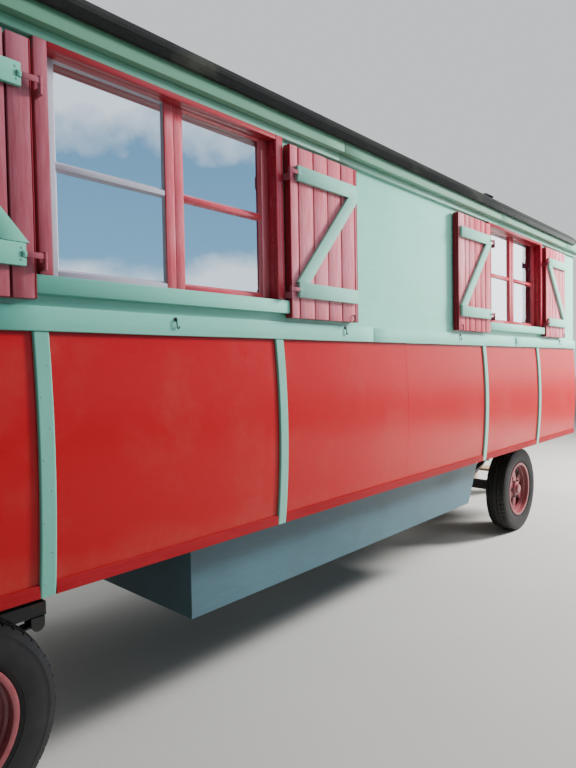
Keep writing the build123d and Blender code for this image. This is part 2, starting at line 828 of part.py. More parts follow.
# Axles: a square beam, turned down to a spindle in each hub
beam_end_y = track / 2 - hub_inner - axle_end_gap
spindle_end_y = track / 2 + hub_outer - 2 * axle_end_gap
for name, axle_x in (("front_axle", front_axle_x), ("rear_axle", rear_axle_x)):
    with BuildPart() as axle:
        with BuildSketch(Plane.XZ.offset(-beam_end_y)):
            with Locations((axle_x, wheel_radius)):
                Rectangle(axle_section, axle_section)
        extrude(amount=2 * beam_end_y)
        with BuildSketch(Plane.XZ.offset(-spindle_end_y)):
            with Locations((axle_x, wheel_radius)):
                Circle(spindle_radius)
        extrude(amount=2 * spindle_end_y)
    axle.part.label = name
    export_step(axle.part, f"parts/{name}.step")

# Leaf springs: each leaf is a strip between two arcs of one centre, the shortest lying on the axle
seat_z = wheel_radius + axle_section / 2
leaf_half = leaf_length / 2
springs = [
    ("front_springs", front_axle_x, front_spring_y, front_camber, fore_rail_bottom),
    ("rear_springs", rear_axle_x, rear_spring_y, rear_camber, beam_bottom),
]
for name, axle_x, spring_y, camber, frame_z in springs:
    arc_radius = (leaf_half**2 + camber**2) / (2 * camber)
    arc_centre_z = seat_z + leaf_count * leaf_thickness + arc_radius
    eye_z = seat_z + (leaf_count - 0.5) * leaf_thickness + camber
    with BuildPart() as spring_pair:
        for spring_side in (-spring_y, spring_y):
            with BuildSketch(Plane.XZ.offset(-spring_side)):
                for level in range(leaf_count):
                    inner = arc_radius + level * leaf_thickness
                    half_angle = degrees(leaf_half * (1 - level / (leaf_count + 1)) / arc_radius)
                    with BuildLine():
                        for radius in (inner, inner + leaf_thickness):
                            CenterArc((axle_x, arc_centre_z), radius, -90 - half_angle, 2 * half_angle)
                        for angle in (-90 - half_angle, -90 + half_angle):
                            turn = radians(angle)
                            Line(
                                (axle_x + inner * cos(turn), arc_centre_z + inner * sin(turn)),
                                (
                                    axle_x + (inner + leaf_thickness) * cos(turn),
                                    arc_centre_z + (inner + leaf_thickness) * sin(turn),
                                ),
                            )
                    make_face()
                with Locations((axle_x - leaf_half, eye_z), (axle_x + leaf_half, eye_z)):
                    Circle(spring_eye_radius)
            extrude(amount=leaf_width / 2, both=True)
            for plate_y in (leaf_width / 2, -leaf_width / 2 - hanger_plate):
                with BuildSketch(Plane.XZ.offset(-spring_side + plate_y)):
                    for end_x in (axle_x - leaf_half, axle_x + leaf_half):
                        with Locations((end_x, (eye_z + frame_z) / 2)):
                            Rectangle(hanger_width, frame_z - eye_z)
                        with Locations((end_x, eye_z)):
                            Circle(hanger_width / 2)
                extrude(amount=hanger_plate)
        clamp_top = seat_z + leaf_count * leaf_thickness + clamp_plate
        clamp_bottom = wheel_radius - axle_section / 2 - clamp_plate
        rod_x = axle_section / 2 + clamp_rod_gap + clamp_rod_radius
        rod_y = leaf_width / 2 + clamp_rod_radius
        for low, high in (
            (clamp_bottom, clamp_bottom + clamp_plate),
            (clamp_top - clamp_plate - clamp_bite, clamp_top),
        ):
            with BuildSketch(Plane.XY.offset(low)):
                with Locations((axle_x, 0)), GridLocations(0, 2 * spring_y, 1, 2):
                    Rectangle(2 * (rod_x + clamp_nut_radius), 2 * (rod_y + clamp_nut_radius))
            extrude(amount=high - low)
        with BuildSketch(Plane.XY.offset(clamp_bottom - clamp_nut_height)):
            with Locations((axle_x, 0)), GridLocations(0, 2 * spring_y, 1, 2):
                with GridLocations(2 * rod_x, 2 * rod_y, 2, 2):
                    RegularPolygon(clamp_nut_radius, 6)
        extrude(amount=clamp_nut_height)
        with BuildSketch(Plane.XY.offset(clamp_bottom)):
            with Locations((axle_x, 0)), GridLocations(0, 2 * spring_y, 1, 2):
                with GridLocations(2 * rod_x, 2 * rod_y, 2, 2):
                    Circle(clamp_rod_radius)
        extrude(amount=clamp_top - clamp_bottom)
    spring_pair.part.label = name
    export_step(spring_pair.part, f"parts/{name}.step")

# Turntable: a fixed ring under the beams and a turning ring below it
for name, bottom in (("turntable_ring", beam_bottom - ring_height), ("fore_ring", fore_rail_top)):
    with BuildPart() as ring:
        with BuildSketch(Plane.XY.offset(bottom)):
            with Locations((front_axle_x, 0)):
                Circle(ring_outer_radius)
                Circle(ring_inner_radius, mode=Mode.SUBTRACT)
        extrude(amount=ring_height)
    ring.part.label = name
    export_step(ring.part, f"parts/{name}.step")

# Fore-carriage frame: side rails over the springs, cross members, and the drawbar's lugs with their pins
hinge_x = front_axle_x - hinge_from_axle
lug_y = drawbar_tube / 2 + lug_clearance
fore_inner_y = front_spring_y - fore_rail_width / 2
with BuildPart() as fore_frame:
    with BuildSketch(Plane.XY.offset(fore_rail_bottom)):
        with Locations(
            (front_axle_x + (fore_rail_rear - fore_rail_front) / 2, -front_spring_y),
            (front_axle_x + (fore_rail_rear - fore_rail_front) / 2, front_spring_y),
        ):
            Rectangle(fore_rail_front + fore_rail_rear, fore_rail_width)
        with Locations(
            (front_axle_x - fore_cross_x, 0),
            (front_axle_x, 0),
            (front_axle_x + fore_cross_x, 0),
            (front_axle_x - fore_rail_front + fore_cross_width / 2, 0),
        ):
            Rectangle(fore_cross_width, 2 * fore_inner_y)
    extrude(amount=fore_rail_height)
    for leg_y in (-hinge_y, hinge_y):
        for plate_y in (lug_y, -lug_y - lug_thickness):
            with BuildSketch(Plane.XZ.offset(-leg_y + plate_y)):
                with Locations((hinge_x, hinge_z)):
                    Circle(lug_radius)
                with Locations(((hinge_x + front_axle_x - fore_rail_front) / 2, hinge_z)):
                    Rectangle(hinge_from_axle - fore_rail_front, 2 * lug_radius)
            extrude(amount=lug_thickness)
        with BuildSketch(Plane.XZ.offset(-leg_y - lug_y - lug_thickness)):
            with Locations((hinge_x, hinge_z)):
                Circle(pin_radius)
        extrude(amount=2 * (lug_y + lug_thickness))
fore_frame.part.label = "fore_frame"
export_step(fore_frame.part, "parts/fore_frame.step")

# Drawbar: two legs that meet in a neck, with the towing eye at its end
along = (-cos(drawbar_slope), 0, -sin(drawbar_slope))
upward = (-sin(drawbar_slope), 0, cos(drawbar_slope))
bar_plane = Plane(origin=(hinge_x, 0, hinge_z), x_dir=along, z_dir=upward)
leg_outer = hinge_y + drawbar_tube / 2
leg_inner = hinge_y - drawbar_tube / 2
neck_start = drawbar_length - drawbar_neck
neck_end = drawbar_length - (eye_outer_radius + eye_bore_radius) / 2
neck_half = drawbar_neck_width / 2
brace_share = (drawbar_brace_x - drawbar_parallel) / (neck_start - drawbar_parallel)
brace_half = leg_outer - brace_share * (leg_outer - neck_half) - drawbar_tube / 2
with BuildPart() as drawbar:
    with BuildSketch(bar_plane):
        with BuildLine():
            Polyline(
                (0, leg_outer),
                (drawbar_parallel, leg_outer),
                (neck_start, neck_half),
                (neck_end, neck_half),
                (neck_end, -neck_half),
                (neck_start, -neck_half),
                (drawbar_parallel, -leg_outer),
                (0, -leg_outer),
                close=True,
            )
        make_face()
        with BuildLine():
            Polyline(
                (-lug_radius, leg_inner),
                (drawbar_parallel, leg_inner),
                (neck_start - drawbar_fork, 0),
                (drawbar_parallel, -leg_inner),
                (-lug_radius, -leg_inner),
                close=True,
            )
        make_face(mode=Mode.SUBTRACT)
        with Locations((drawbar_brace_x, 0)):
            Rectangle(drawbar_brace_width, 2 * brace_half)
    extrude(amount=drawbar_tube / 2, both=True)
    for leg_y in (-hinge_y, hinge_y):
        with BuildSketch(Plane.XZ.offset(-leg_y)):
            with Locations((hinge_x, hinge_z)):
                Circle(drawbar_tube / 2)
        extrude(amount=drawbar_tube / 2, both=True)
    with BuildSketch(bar_plane):
        with Locations((drawbar_length, 0)):
            Circle(eye_outer_radius)
    extrude(amount=eye_thickness / 2, both=True)
    with BuildSketch(bar_plane):
        with Locations((drawbar_length, 0)):
            Circle(eye_bore_radius)
    extrude(amount=drawbar_tube, both=True, mode=Mode.SUBTRACT)
    with BuildSketch(Plane.XZ.offset(-leg_outer)):
        with Locations((hinge_x, hinge_z)):
            Circle(pin_radius + pin_clearance)
    extrude(amount=2 * leg_outer, mode=Mode.SUBTRACT)
drawbar.part.label = "drawbar"
export_step(drawbar.part, "parts/drawbar.step")

# Door frame in the rear end: jambs, head and threshold, stops, and a casing on the outside
rear_face = Plane(origin=(rear_x, 0, 0), x_dir=(0, 1, 0), z_dir=(1, 0, 0))
leaf_z = (door_bottom + door_top) / 2
clear_half = door_width / 2 + door_gap
clear_top = door_top + door_gap
door_axis_y = door_width / 2 + door_axis_gap
door_axis_x = rear_x + door_axis_out
hinge_pitch = (door_height - 4 * door_hinge_height) / (door_hinge_count - 1)
hinge_levels = [
    leaf_z + (level - (door_hinge_count - 1) / 2) * hinge_pitch for level in range(door_hinge_count)
]
with BuildPart() as door_frame:
    with BuildSketch(rear_face):
        with Locations((0, (wall_bottom + doorway_top) / 2)):
            Rectangle(2 * doorway_half, doorway_top - wall_bottom)
        with Locations((0, (floor_top + clear_top) / 2)):
            Rectangle(2 * clear_half, clear_top - floor_top, mode=Mode.SUBTRACT)
    extrude(amount=-wall_thickness)
    with BuildSketch(rear_face.offset(-door_thickness - door_gap)):
        with Locations((0, (floor_top + clear_top) / 2)):
            Rectangle(2 * clear_half, clear_top - floor_top)
        with Locations((0, (floor_top + clear_top - door_stop) / 2)):
            Rectangle(
                2 * (clear_half - door_stop), clear_top - floor_top - door_stop, mode=Mode.SUBTRACT
            )
    extrude(amount=-(wall_thickness - door_thickness - door_gap))
    with BuildSketch(rear_face):
        with Locations(
            (clear_half + door_casing_reveal + door_casing_width / 2, (wall_bottom + frieze_bottom) / 2),
            (-clear_half - door_casing_reveal - door_casing_width / 2, (wall_bottom + frieze_bottom) / 2),
        ):
            Rectangle(door_casing_width, frieze_bottom - wall_bottom)
    extrude(amount=door_casing_out)
    with BuildSketch(rear_face):
        with Locations((clear_half + door_casing_reveal / 2, leaf_z - door_hinge_height)):
            with GridLocations(0, hinge_pitch, 1, door_hinge_count):
                Rectangle(door_casing_reveal, door_hinge_height - 2 * knuckle_gap)
    extrude(amount=door_axis_out)
    for hinge_level in hinge_levels:
        z = hinge_level - door_hinge_height * 1.5 + knuckle_gap
        with BuildSketch(Plane.XY.offset(z)):
            with Locations((door_axis_x, door_axis_y)):
                Circle(knuckle_radius)
        extrude(amount=door_hinge_height - 2 * knuckle_gap)
door_frame.part.label = "door_frame"
export_step(door_frame.part, "parts/door_frame.step")

# Door leaf: stiles and rails round a light above and a recessed panel below, with its strap hinges
light_width = door_width - 2 * door_stile
light_top = door_top - door_stile
light_bottom = light_top - door_light_height
panel_top = light_bottom - door_lock_rail
panel_bottom = door_bottom + 2 * door_stile
with BuildPart() as door_leaf:
    with BuildSketch(rear_face):
        with Locations((0, leaf_z)):
            Rectangle(door_width, door_height)
        with Locations((0, (light_top + light_bottom) / 2)):
            Rectangle(light_width, door_light_height, mode=Mode.SUBTRACT)
    extrude(amount=-door_thickness)
    inner_face = rear_face.offset(-door_thickness)
    for face, depth in ((rear_face, -door_panel_recess), (inner_face, door_panel_recess)):
        with BuildSketch(face):
            with Locations((0, (panel_top + panel_bottom) / 2)):
                Rectangle(light_width, panel_top - panel_bottom)
        extrude(amount=depth, mode=Mode.SUBTRACT)
    with BuildSketch(rear_face):
        with Locations((door_axis_y - door_strap_length / 2, leaf_z)):
            with GridLocations(0, hinge_pitch, 1, door_hinge_count):
                Rectangle(door_strap_length, door_hinge_height - 2 * knuckle_gap)
    extrude(amount=door_strap_thickness)
    for hinge_level in hinge_levels:
        z = hinge_level - door_hinge_height / 2 + knuckle_gap
        with BuildSketch(Plane.XY.offset(z)):
            with Locations((door_axis_x, door_axis_y)):
                Circle(knuckle_radius)
        extrude(amount=door_hinge_height - 2 * knuckle_gap)
door_leaf.part.label = "door_leaf"
export_step(door_leaf.part, "parts/door_leaf.step")

with BuildPart() as door_glass:
    with BuildSketch(rear_face.offset(-door_thickness / 2)):
        with Locations((0, (light_top + light_bottom) / 2)):
            Rectangle(light_width, door_light_height)
    extrude(amount=glass_thickness)
door_glass.part.label = "door_glass"
export_step(door_glass.part, "parts/door_glass.step")

# Lever handles on both faces of the door, on the stile away from the hinges
handle_y = -(door_width - door_stile) / 2
handle_z = light_bottom - door_lock_rail / 2
with BuildPart() as door_handle:
    for face, outward in ((rear_face, 1), (rear_face.offset(-door_thickness), -1)):
        with BuildSketch(face):
            with Locations((handle_y, handle_z)):
                Circle(handle_rose_radius)
        extrude(amount=outward * handle_radius)
        with BuildSketch(face):
            with Locations((handle_y, handle_z)):
                Circle(handle_radius)
        extrude(amount=outward * handle_out)
        with BuildSketch(face.offset(outward * (handle_out - 2 * handle_radius))):
            with Locations((handle_y + handle_length / 2 - handle_radius, handle_z)):
                SlotOverall(handle_length, 2 * handle_radius)
        extrude(amount=outward * 2 * handle_radius)
door_handle.part.label = "door_handle"
export_step(door_handle.part, "parts/door_handle.step")

# Steps at the rear door: treads between two stringers, hooked over the threshold
step_rise = floor_top / (step_count + 1)
step_top = step_rise * step_count
steps_x = rear_x + step_hook_thickness
steps_run = step_count * step_going
with BuildPart() as entrance_steps:
    for stringer_y in (-step_width / 2, step_width / 2 - stringer_thickness):
        with BuildSketch(Plane.XZ.offset(-stringer_y - stringer_thickness)):
            with BuildLine():
                Polyline(
                    (steps_x, step_top),
                    (steps_x, step_top - stringer_depth),
                    (steps_x + steps_run - stringer_depth, 0),
                    (steps_x + steps_run, 0),
                    (steps_x + steps_run, step_rise),
                    (steps_x + step_going, step_top),
                    close=True,
                )
            make_face()
        extrude(amount=stringer_thickness)
        with BuildSketch(Plane.YZ.offset(rear_x)):
            with Locations(
                (stringer_y + stringer_thickness / 2, (step_top - stringer_depth + floor_top) / 2)
            ):
                Rectangle(stringer_thickness, floor_top - step_top + stringer_depth)
        extrude(amount=step_hook_thickness)
    for level in range(step_count):
        with BuildSketch(Plane.XY.offset(step_top - level * step_rise - tread_thickness)):
            with Locations((steps_x + (level + 0.5) * step_going, 0)):
                Rectangle(step_going, step_width)
        extrude(amount=tread_thickness)
entrance_steps.part.label = "entrance_steps"
export_step(entrance_steps.part, "parts/entrance_steps.step")

# Curtain on its rod, behind the rear window of the left side
curtain_rod_z = sash_top + curtain_rod_above_sash
curtain_top = curtain_rod_z - curtain_rod_radius
curtain_bottom = sash_bottom - curtain_below_sash
curtain_x = middle_x + window_from_middle + window_width / 2 - casing_width - curtain_edge - curtain_width / 2
curtain_y = -inner_half_width + curtain_off_wall + curtain_thickness / 2
with BuildPart() as curtain_rod:
    with BuildSketch(Plane.YZ.offset(middle_x + window_from_middle - window_width / 2)):
        with Locations((curtain_y, curtain_rod_z)):
            Circle(curtain_rod_radius)
    extrude(amount=window_width)
    for bracket_x in (-window_width / 2, window_width / 2 - 2 * curtain_rod_radius):
        with BuildSketch(Plane.YZ.offset(middle_x + window_from_middle + bracket_x)):
            with Locations(((curtain_y - inner_half_width) / 2, curtain_rod_z)):
                Rectangle(curtain_y + inner_half_width, curtain_rod_radius)
        extrude(amount=2 * curtain_rod_radius)
curtain_rod.part.label = "curtain_rod"
export_step(curtain_rod.part, "parts/curtain_rod.step")

with BuildPart() as curtain:
    with BuildSketch(Plane.XZ.offset(-curtain_y)):
        with Locations((curtain_x, (curtain_top + curtain_bottom) / 2)):
            Rectangle(curtain_width, curtain_top - curtain_bottom)
    extrude(amount=curtain_thickness / 2, both=True)
curtain.part.label = "curtain"
export_step(curtain.part, "parts/curtain.step")

# Shutters, open: grooved boards next to the wall, two ledges and a brace outside, on strap hinges
board_face = half_width + shutter_off_wall + board_thickness
ledge_face = board_face + ledge_thickness
shutter_bottom = belt_top + shutter_above_belt
shutter_top = frieze_bottom - shutter_below_frieze
shutter_height = shutter_top - shutter_bottom
shutter_mid_z = (shutter_top + shutter_bottom) / 2
board_pitch = shutter_width / board_count
axis_y = half_width + shutter_axis_out
bottom_ledge_z = shutter_bottom + bottom_ledge_inset
top_ledge_z = shutter_top - top_ledge_inset
ledge_levels = (bottom_ledge_z, top_ledge_z)
brace_bottom = bottom_ledge_z + ledge_width / 2
brace_top = top_ledge_z - ledge_width / 2
# Each row: name, the window's place from the middle, side of the window, and whether the brace rises outwards
shutter_table = [
    ("front_window_front", -window_from_middle, -1, True),
    ("front_window_rear", -window_from_middle, 1, True),
    ("rear_window_front", window_from_middle, -1, False),
    ("rear_window_rear", window_from_middle, 1, False),
]
shutter_axes = [
    middle_x + offset + sign * window_width / 2 for name, offset, sign, rises in shutter_table
]
for (name, offset, sign, rises), axis_x in zip(shutter_table, shutter_axes):
    near_x = axis_x + sign * shutter_axis_gap
    board_x = near_x + sign * shutter_width / 2
    ledge_length = shutter_width - ledge_hinge_inset - ledge_free_inset
    ledge_x = near_x + sign * (ledge_hinge_inset + ledge_length / 2)
    run = ledge_length - brace_width
    slant = hypot(run, brace_top - brace_bottom) / (brace_top - brace_bottom) * brace_width / 2
    lean = (run / 2 if rises else -run / 2) * sign
    with BuildPart() as shutter:
        with BuildSketch(Plane.XZ.offset(half_width + shutter_off_wall)):
            with Locations((board_x, shutter_mid_z)):
                Rectangle(shutter_width, shutter_height)
        extrude(amount=board_thickness)
        with BuildSketch(Plane.XZ.offset(board_face)):
            with Locations((board_x, shutter_mid_z)), GridLocations(board_pitch, 0, board_count - 1, 1):
                Rectangle(groove_width, shutter_height)
        extrude(amount=-groove_depth, mode=Mode.SUBTRACT)
        with BuildSketch(Plane.XZ.offset(board_face)):
            with Locations([(ledge_x, level) for level in ledge_levels]):
                Rectangle(ledge_length, ledge_width)
            with BuildLine():
                Polyline(
                    (ledge_x - lean - slant, brace_bottom),
                    (ledge_x - lean + slant, brace_bottom),
                    (ledge_x + lean + slant, brace_top),
                    (ledge_x + lean - slant, brace_top),
                    close=True,
                )
            make_face()
        extrude(amount=ledge_thickness)
        with BuildSketch(Plane.XZ.offset(ledge_face)):
            with Locations([(axis_x + sign * strap_length / 2, level) for level in ledge_levels]):
                Rectangle(strap_length, strap_height)
        extrude(amount=strap_thickness)
        for level in ledge_levels:
            with BuildSketch(Plane.XY.offset(level - knuckle_height / 2)):
                with Locations((axis_x, -axis_y)):
                    Circle(knuckle_radius)
            extrude(amount=knuckle_height)
    shutter.part.label = f"left_{name}_shutter"
    export_step(shutter.part, f"parts/left_{name}_shutter.step")

    with BuildPart() as opposite:
        mirror(shutter.part, about=Plane.XZ)
    opposite.part.label = f"right_{name}_shutter"
    export_step(opposite.part, f"parts/right_{name}_shutter.step")

# Fixed halves of the shutter hinges, on the casings
with BuildPart() as shutter_hinges:
    for (name, offset, sign, rises), axis_x in zip(shutter_table, shutter_axes):
        for level in ledge_levels:
            bottom = level - 1.5 * knuckle_height - knuckle_gap
            with BuildSketch(Plane.XY.offset(bottom)):
                with Locations((axis_x, -axis_y)):
                    Circle(knuckle_radius)
                with Locations((axis_x - sign * knuckle_radius / 2, -(half_width + casing_out + axis_y) / 2)):
                    Rectangle(knuckle_radius, axis_y - half_width - casing_out)
            extrude(amount=knuckle_height)
    mirror(about=Plane.XZ)
shutter_hinges.part.label = "shutter_hinges"
export_step(shutter_hinges.part, "parts/shutter_hinges.step")
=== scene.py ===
"""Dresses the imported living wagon: sides, windows, shutters, felt roof, wheels, finishes and studio."""

import json
import logging
import math
from dataclasses import dataclass
from enum import Enum
from typing import Any, Sequence, Union

import bmesh
import bpy
import numpy as np
from mathutils import Matrix, Vector


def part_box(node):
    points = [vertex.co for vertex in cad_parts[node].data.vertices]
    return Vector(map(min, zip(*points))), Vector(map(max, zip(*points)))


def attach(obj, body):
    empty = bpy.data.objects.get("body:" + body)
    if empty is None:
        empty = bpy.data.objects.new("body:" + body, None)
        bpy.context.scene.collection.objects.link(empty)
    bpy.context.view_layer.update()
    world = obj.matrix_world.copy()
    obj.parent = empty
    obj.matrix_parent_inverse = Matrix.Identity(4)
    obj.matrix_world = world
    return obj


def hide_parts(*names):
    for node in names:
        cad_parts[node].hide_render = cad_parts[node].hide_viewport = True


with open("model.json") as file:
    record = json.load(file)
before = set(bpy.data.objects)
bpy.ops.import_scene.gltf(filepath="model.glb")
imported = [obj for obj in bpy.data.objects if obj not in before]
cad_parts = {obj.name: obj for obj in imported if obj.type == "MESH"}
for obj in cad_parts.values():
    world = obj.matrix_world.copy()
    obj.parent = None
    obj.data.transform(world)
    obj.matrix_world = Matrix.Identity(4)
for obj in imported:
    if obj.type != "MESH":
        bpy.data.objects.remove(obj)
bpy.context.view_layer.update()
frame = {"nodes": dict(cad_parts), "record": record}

Array = np.ndarray
Point = tuple[float, float, float]
Rgb = tuple[float, float, float]
Profile = tuple[tuple[float, float], ...]
log = logging.getLogger("wagon")
SHARP_ANGLE = math.radians(35)
EASED_ANGLE = math.radians(30)


def across(side: int, *outs: float) -> list[float]:
    """Distances from the middle plane as places on one side of the wagon, the lowest first."""
    return sorted(side * out for out in outs)


def put(name: str, data: bpy.types.ID) -> bpy.types.Object:
    """Puts a new object with a mesh, a camera or a light into the scene."""
    made = bpy.data.objects.new(name, data)
    bpy.context.scene.collection.objects.link(made)
    return made


class Shell:
    """Collects grids of points and their faces, and makes one mesh of them."""

    def __init__(self) -> None:
        """Starts with no points and no faces."""
        self.points: list[Array] = []
        self.faces: list[Array] = []
        self.total = 0

    def _take(self, points: Array) -> Array:
        """Adds points and gives back their numbers.

        Args:
            points: Any array whose last axis is x, y, z.

        Returns:
            The numbers of the points, in the shape of the grid.
        """
        flat = points.reshape(-1, 3)
        numbers = self.total + np.arange(len(flat))
        self.points.append(flat)
        self.total += len(flat)
        return numbers.reshape(points.shape[:-1])

    def grid(self, points: Array, close_u: bool = False, close_v: bool = False, caps: bool = False) -> None:
        """Adds quads between neighbours of a grid: the face normal is the u step crossed with the v step.

        Args:
            points: The grid, u by v by 3.
            close_u: Whether the last row joins the first.
            close_v: Whether the last column joins the first.
            caps: Whether the first and the last row are closed with one flat face each.
        """
        n = self._take(points)
        u = np.concatenate([n, n[:1]]) if close_u else n
        u = np.concatenate([u, u[:, :1]], axis=1) if close_v else u
        quads = np.stack([u[:-1, :-1], u[1:, :-1], u[1:, 1:], u[:-1, 1:]], axis=-1)
        self.faces.append(quads.reshape(-1, 4))
        if caps:
            self.faces.append(n[:1])
            self.faces.append(n[-1:, ::-1])

    def mesh(self, name: str) -> bpy.types.Mesh:
        """Puts all points and faces into one mesh, smooth but for its sharp edges.

        Args:
            name: The name of the mesh.

        Returns:
            The new mesh.
        """
        counts = np.concatenate([np.full(len(f), f.shape[1]) for f in self.faces])
        corners = np.concatenate([f.reshape(-1) for f in self.faces])
        made = bpy.data.meshes.new(name)
        made.vertices.add(self.total)
        made.vertices.foreach_set("co", np.concatenate(self.points).astype(np.float32).reshape(-1))
        made.loops.add(len(corners))
        made.loops.foreach_set("vertex_index", corners.astype(np.int32))
        made.polygons.add(len(counts))
        made.polygons.foreach_set("loop_start", (np.cumsum(counts) - counts).astype(np.int32))
        made.update(calc_edges=True)
        made.polygons.foreach_set("use_smooth", np.ones(len(counts), dtype=bool))
        made.set_sharp_from_angle(angle=SHARP_ANGLE)
        return made


def rounded_section(half_a: float, half_b: float, radius: float, steps: int = 2) -> Array:
    """A rectangle with rounded corners: each corner is a quarter circle of `radius` about its own centre.

    Args:
        half_a: Half the size along the first axis.
        half_b: Half the size along the second axis.
        radius: Radius of the corners.
        steps: Steps in each corner.

    Returns:
        The points, counterclockwise, as (a, b) pairs.
    """
    radius = min(radius, half_a * 0.98, half_b * 0.98)
    turn = np.linspace(0, np.pi / 2, steps + 1)
    quarter = np.stack([np.cos(turn), np.sin(turn)], axis=-1) * radius
    signs = ((1, 1), (-1, 1), (-1, -1), (1, -1))
    corners = []
    for index, (sign_a, sign_b) in enumerate(signs):
        angle = index * np.pi / 2
        spin = np.array([[np.cos(angle), np.sin(angle)], [-np.sin(angle), np.cos(angle)]])
        centre = np.array([sign_a * (half_a - radius), sign_b * (half_b - radius)])
        corners.append(centre + quarter @ spin)
    return np.concatenate(corners)


def board(shell: Shell, low: Sequence[float], high: Sequence[float], radius: float = 0.003, wave: float = 0.0,
          seed: int = 0) -> None:
    """A board with rounded edges: a rounded section carried along the longest side, drawn in at both ends
    by radius * (1 - sin t) while it moves on by radius * (1 - cos t). `wave` bends it by that much in slow
    sines along its length, as an old board bends.

    Args:
        shell: The shell that takes the board.
        low: The lowest corner.
        high: The highest corner.
        radius: Radius of all edges.
        wave: How far the board bends, in metres.
        seed: Chooses the phases of the bend.
    """
    low, high = np.asarray(low, float), np.asarray(high, float)
    size, centre = high - low, (high + low) / 2
    axis = int(np.argmax(size))
    a, b = (axis + 1) % 3, (axis + 2) % 3
    radius = min(radius, size[a] * 0.45, size[b] * 0.45)
    turn = np.linspace(0.0, np.pi / 2, 3)
    inset, run = radius * (1 - np.sin(turn)), radius * (1 - np.cos(turn))
    middle = np.linspace(radius, size[axis] - radius, max(2, int(size[axis] / 0.15)) if wave else 2)[1:-1]
    along = np.concatenate([run, middle, size[axis] - run[::-1]]) - size[axis] / 2
    draw = np.concatenate([inset, np.zeros(len(middle)), inset[::-1]])
    section = rounded_section(size[a] / 2, size[b] / 2, radius)[::-1]
    scale = 1 - draw[:, None, None] / (np.array([size[a], size[b]]) / 2)
    rings = section[None] * scale
    points = np.zeros((len(along), len(section), 3))
    points[..., axis] = along[:, None]
    points[..., a], points[..., b] = rings[..., 0], rings[..., 1]
    if wave:
        rng = np.random.default_rng(seed)
        for side in (a, b):
            phase, pitch = rng.uniform(0, 2 * np.pi), rng.uniform(0.5, 1.1)
            points[..., side] += wave * np.sin(along * 2 * np.pi / pitch + phase)[:, None]
    shell.grid(points + centre, close_v=True, caps=True)


def tube(shell: Shell, path: Array, radius: float, sides: int = 10) -> None:
    """A round bar: a circle carried along a path. Its two cross axes are the path's direction crossed with
    one fixed helper direction, and then crossed again.

    Args:
        shell: The shell that takes the bar.
        path: Points along the middle of the bar, n by 3.
        radius: Radius of the bar.
        sides: Points round the circle.
    """
    path = np.asarray(path, float)
    along = np.gradient(path, axis=0)
    along /= np.linalg.norm(along, axis=1)[:, None]
    spread = np.abs(along).max(axis=0)
    helper = np.eye(3)[int(np.argmin(spread))]
    side = np.cross(along, helper)
    side /= np.linalg.norm(side, axis=1)[:, None]
    other = np.cross(along, side)
    turn = np.arange(sides) * 2 * np.pi / sides
    ring = np.cos(turn)[None, :, None] * side[:, None] - np.sin(turn)[None, :, None] * other[:, None]
    shell.grid(path[:, None] + radius * ring, close_v=True, caps=True)


def bend_path(corners: Sequence[Point], steps: int = 8, reach: float = 0.3) -> Array:
    """A path through corners, each rounded by the curve (1-t)^2 A + 2t(1-t) B + t^2 C between points that lie
    a share `reach` of the way to its neighbours.

    Args:
        corners: The corners of the path.
        steps: Points on each rounded corner.
        reach: Share of each run that a corner takes up.

    Returns:
        The points of the path, n by 3.
    """
    c = np.asarray(corners, float)
    t = np.linspace(0, 1, steps)[:, None]
    parts = [c[:1]]
    for before, here, after in zip(c[:-2], c[1:-1], c[2:]):
        first, last = here + (before - here) * reach, here + (after - here) * reach
        parts.append((1 - t) ** 2 * first + 2 * t * (1 - t) * here + t**2 * last)
    parts.append(c[-1:])
    return np.concatenate(parts)


def lathe(shell: Shell, centre: Sequence[float], axis: Sequence[float],
          profile: Sequence[tuple[float, float]], sides: int = 48, closed: bool = False) -> None:
    """A turned shape: each profile point (along, radius) goes round the axis through the centre.

    Args:
        shell: The shell that takes the shape.
        centre: A point on the axis.
        axis: Direction of the axis.
        profile: Pairs of distance along the axis and radius; the outer side runs along the axis.
        sides: Points round the axis.
        closed: Whether the profile's end joins its start, as on a ring.
    """
    axis = np.asarray(axis, float) / np.linalg.norm(axis)
    helper = np.eye(3)[int(np.argmin(np.abs(axis)))]
    side = np.cross(axis, helper)
    side /= np.linalg.norm(side)
    other = np.cross(axis, side)
    turn = np.arange(sides) * 2 * np.pi / sides
    ring = np.cos(turn)[:, None] * side - np.sin(turn)[:, None] * other
    pairs = np.asarray(profile, float)
    points = np.asarray(centre, float) + pairs[:, None, :1] * axis + pairs[:, None, 1:] * ring[None]
    if closed:
        shell.grid(points, close_u=True, close_v=True)
        return
    shell.grid(points, close_v=True, caps=True)


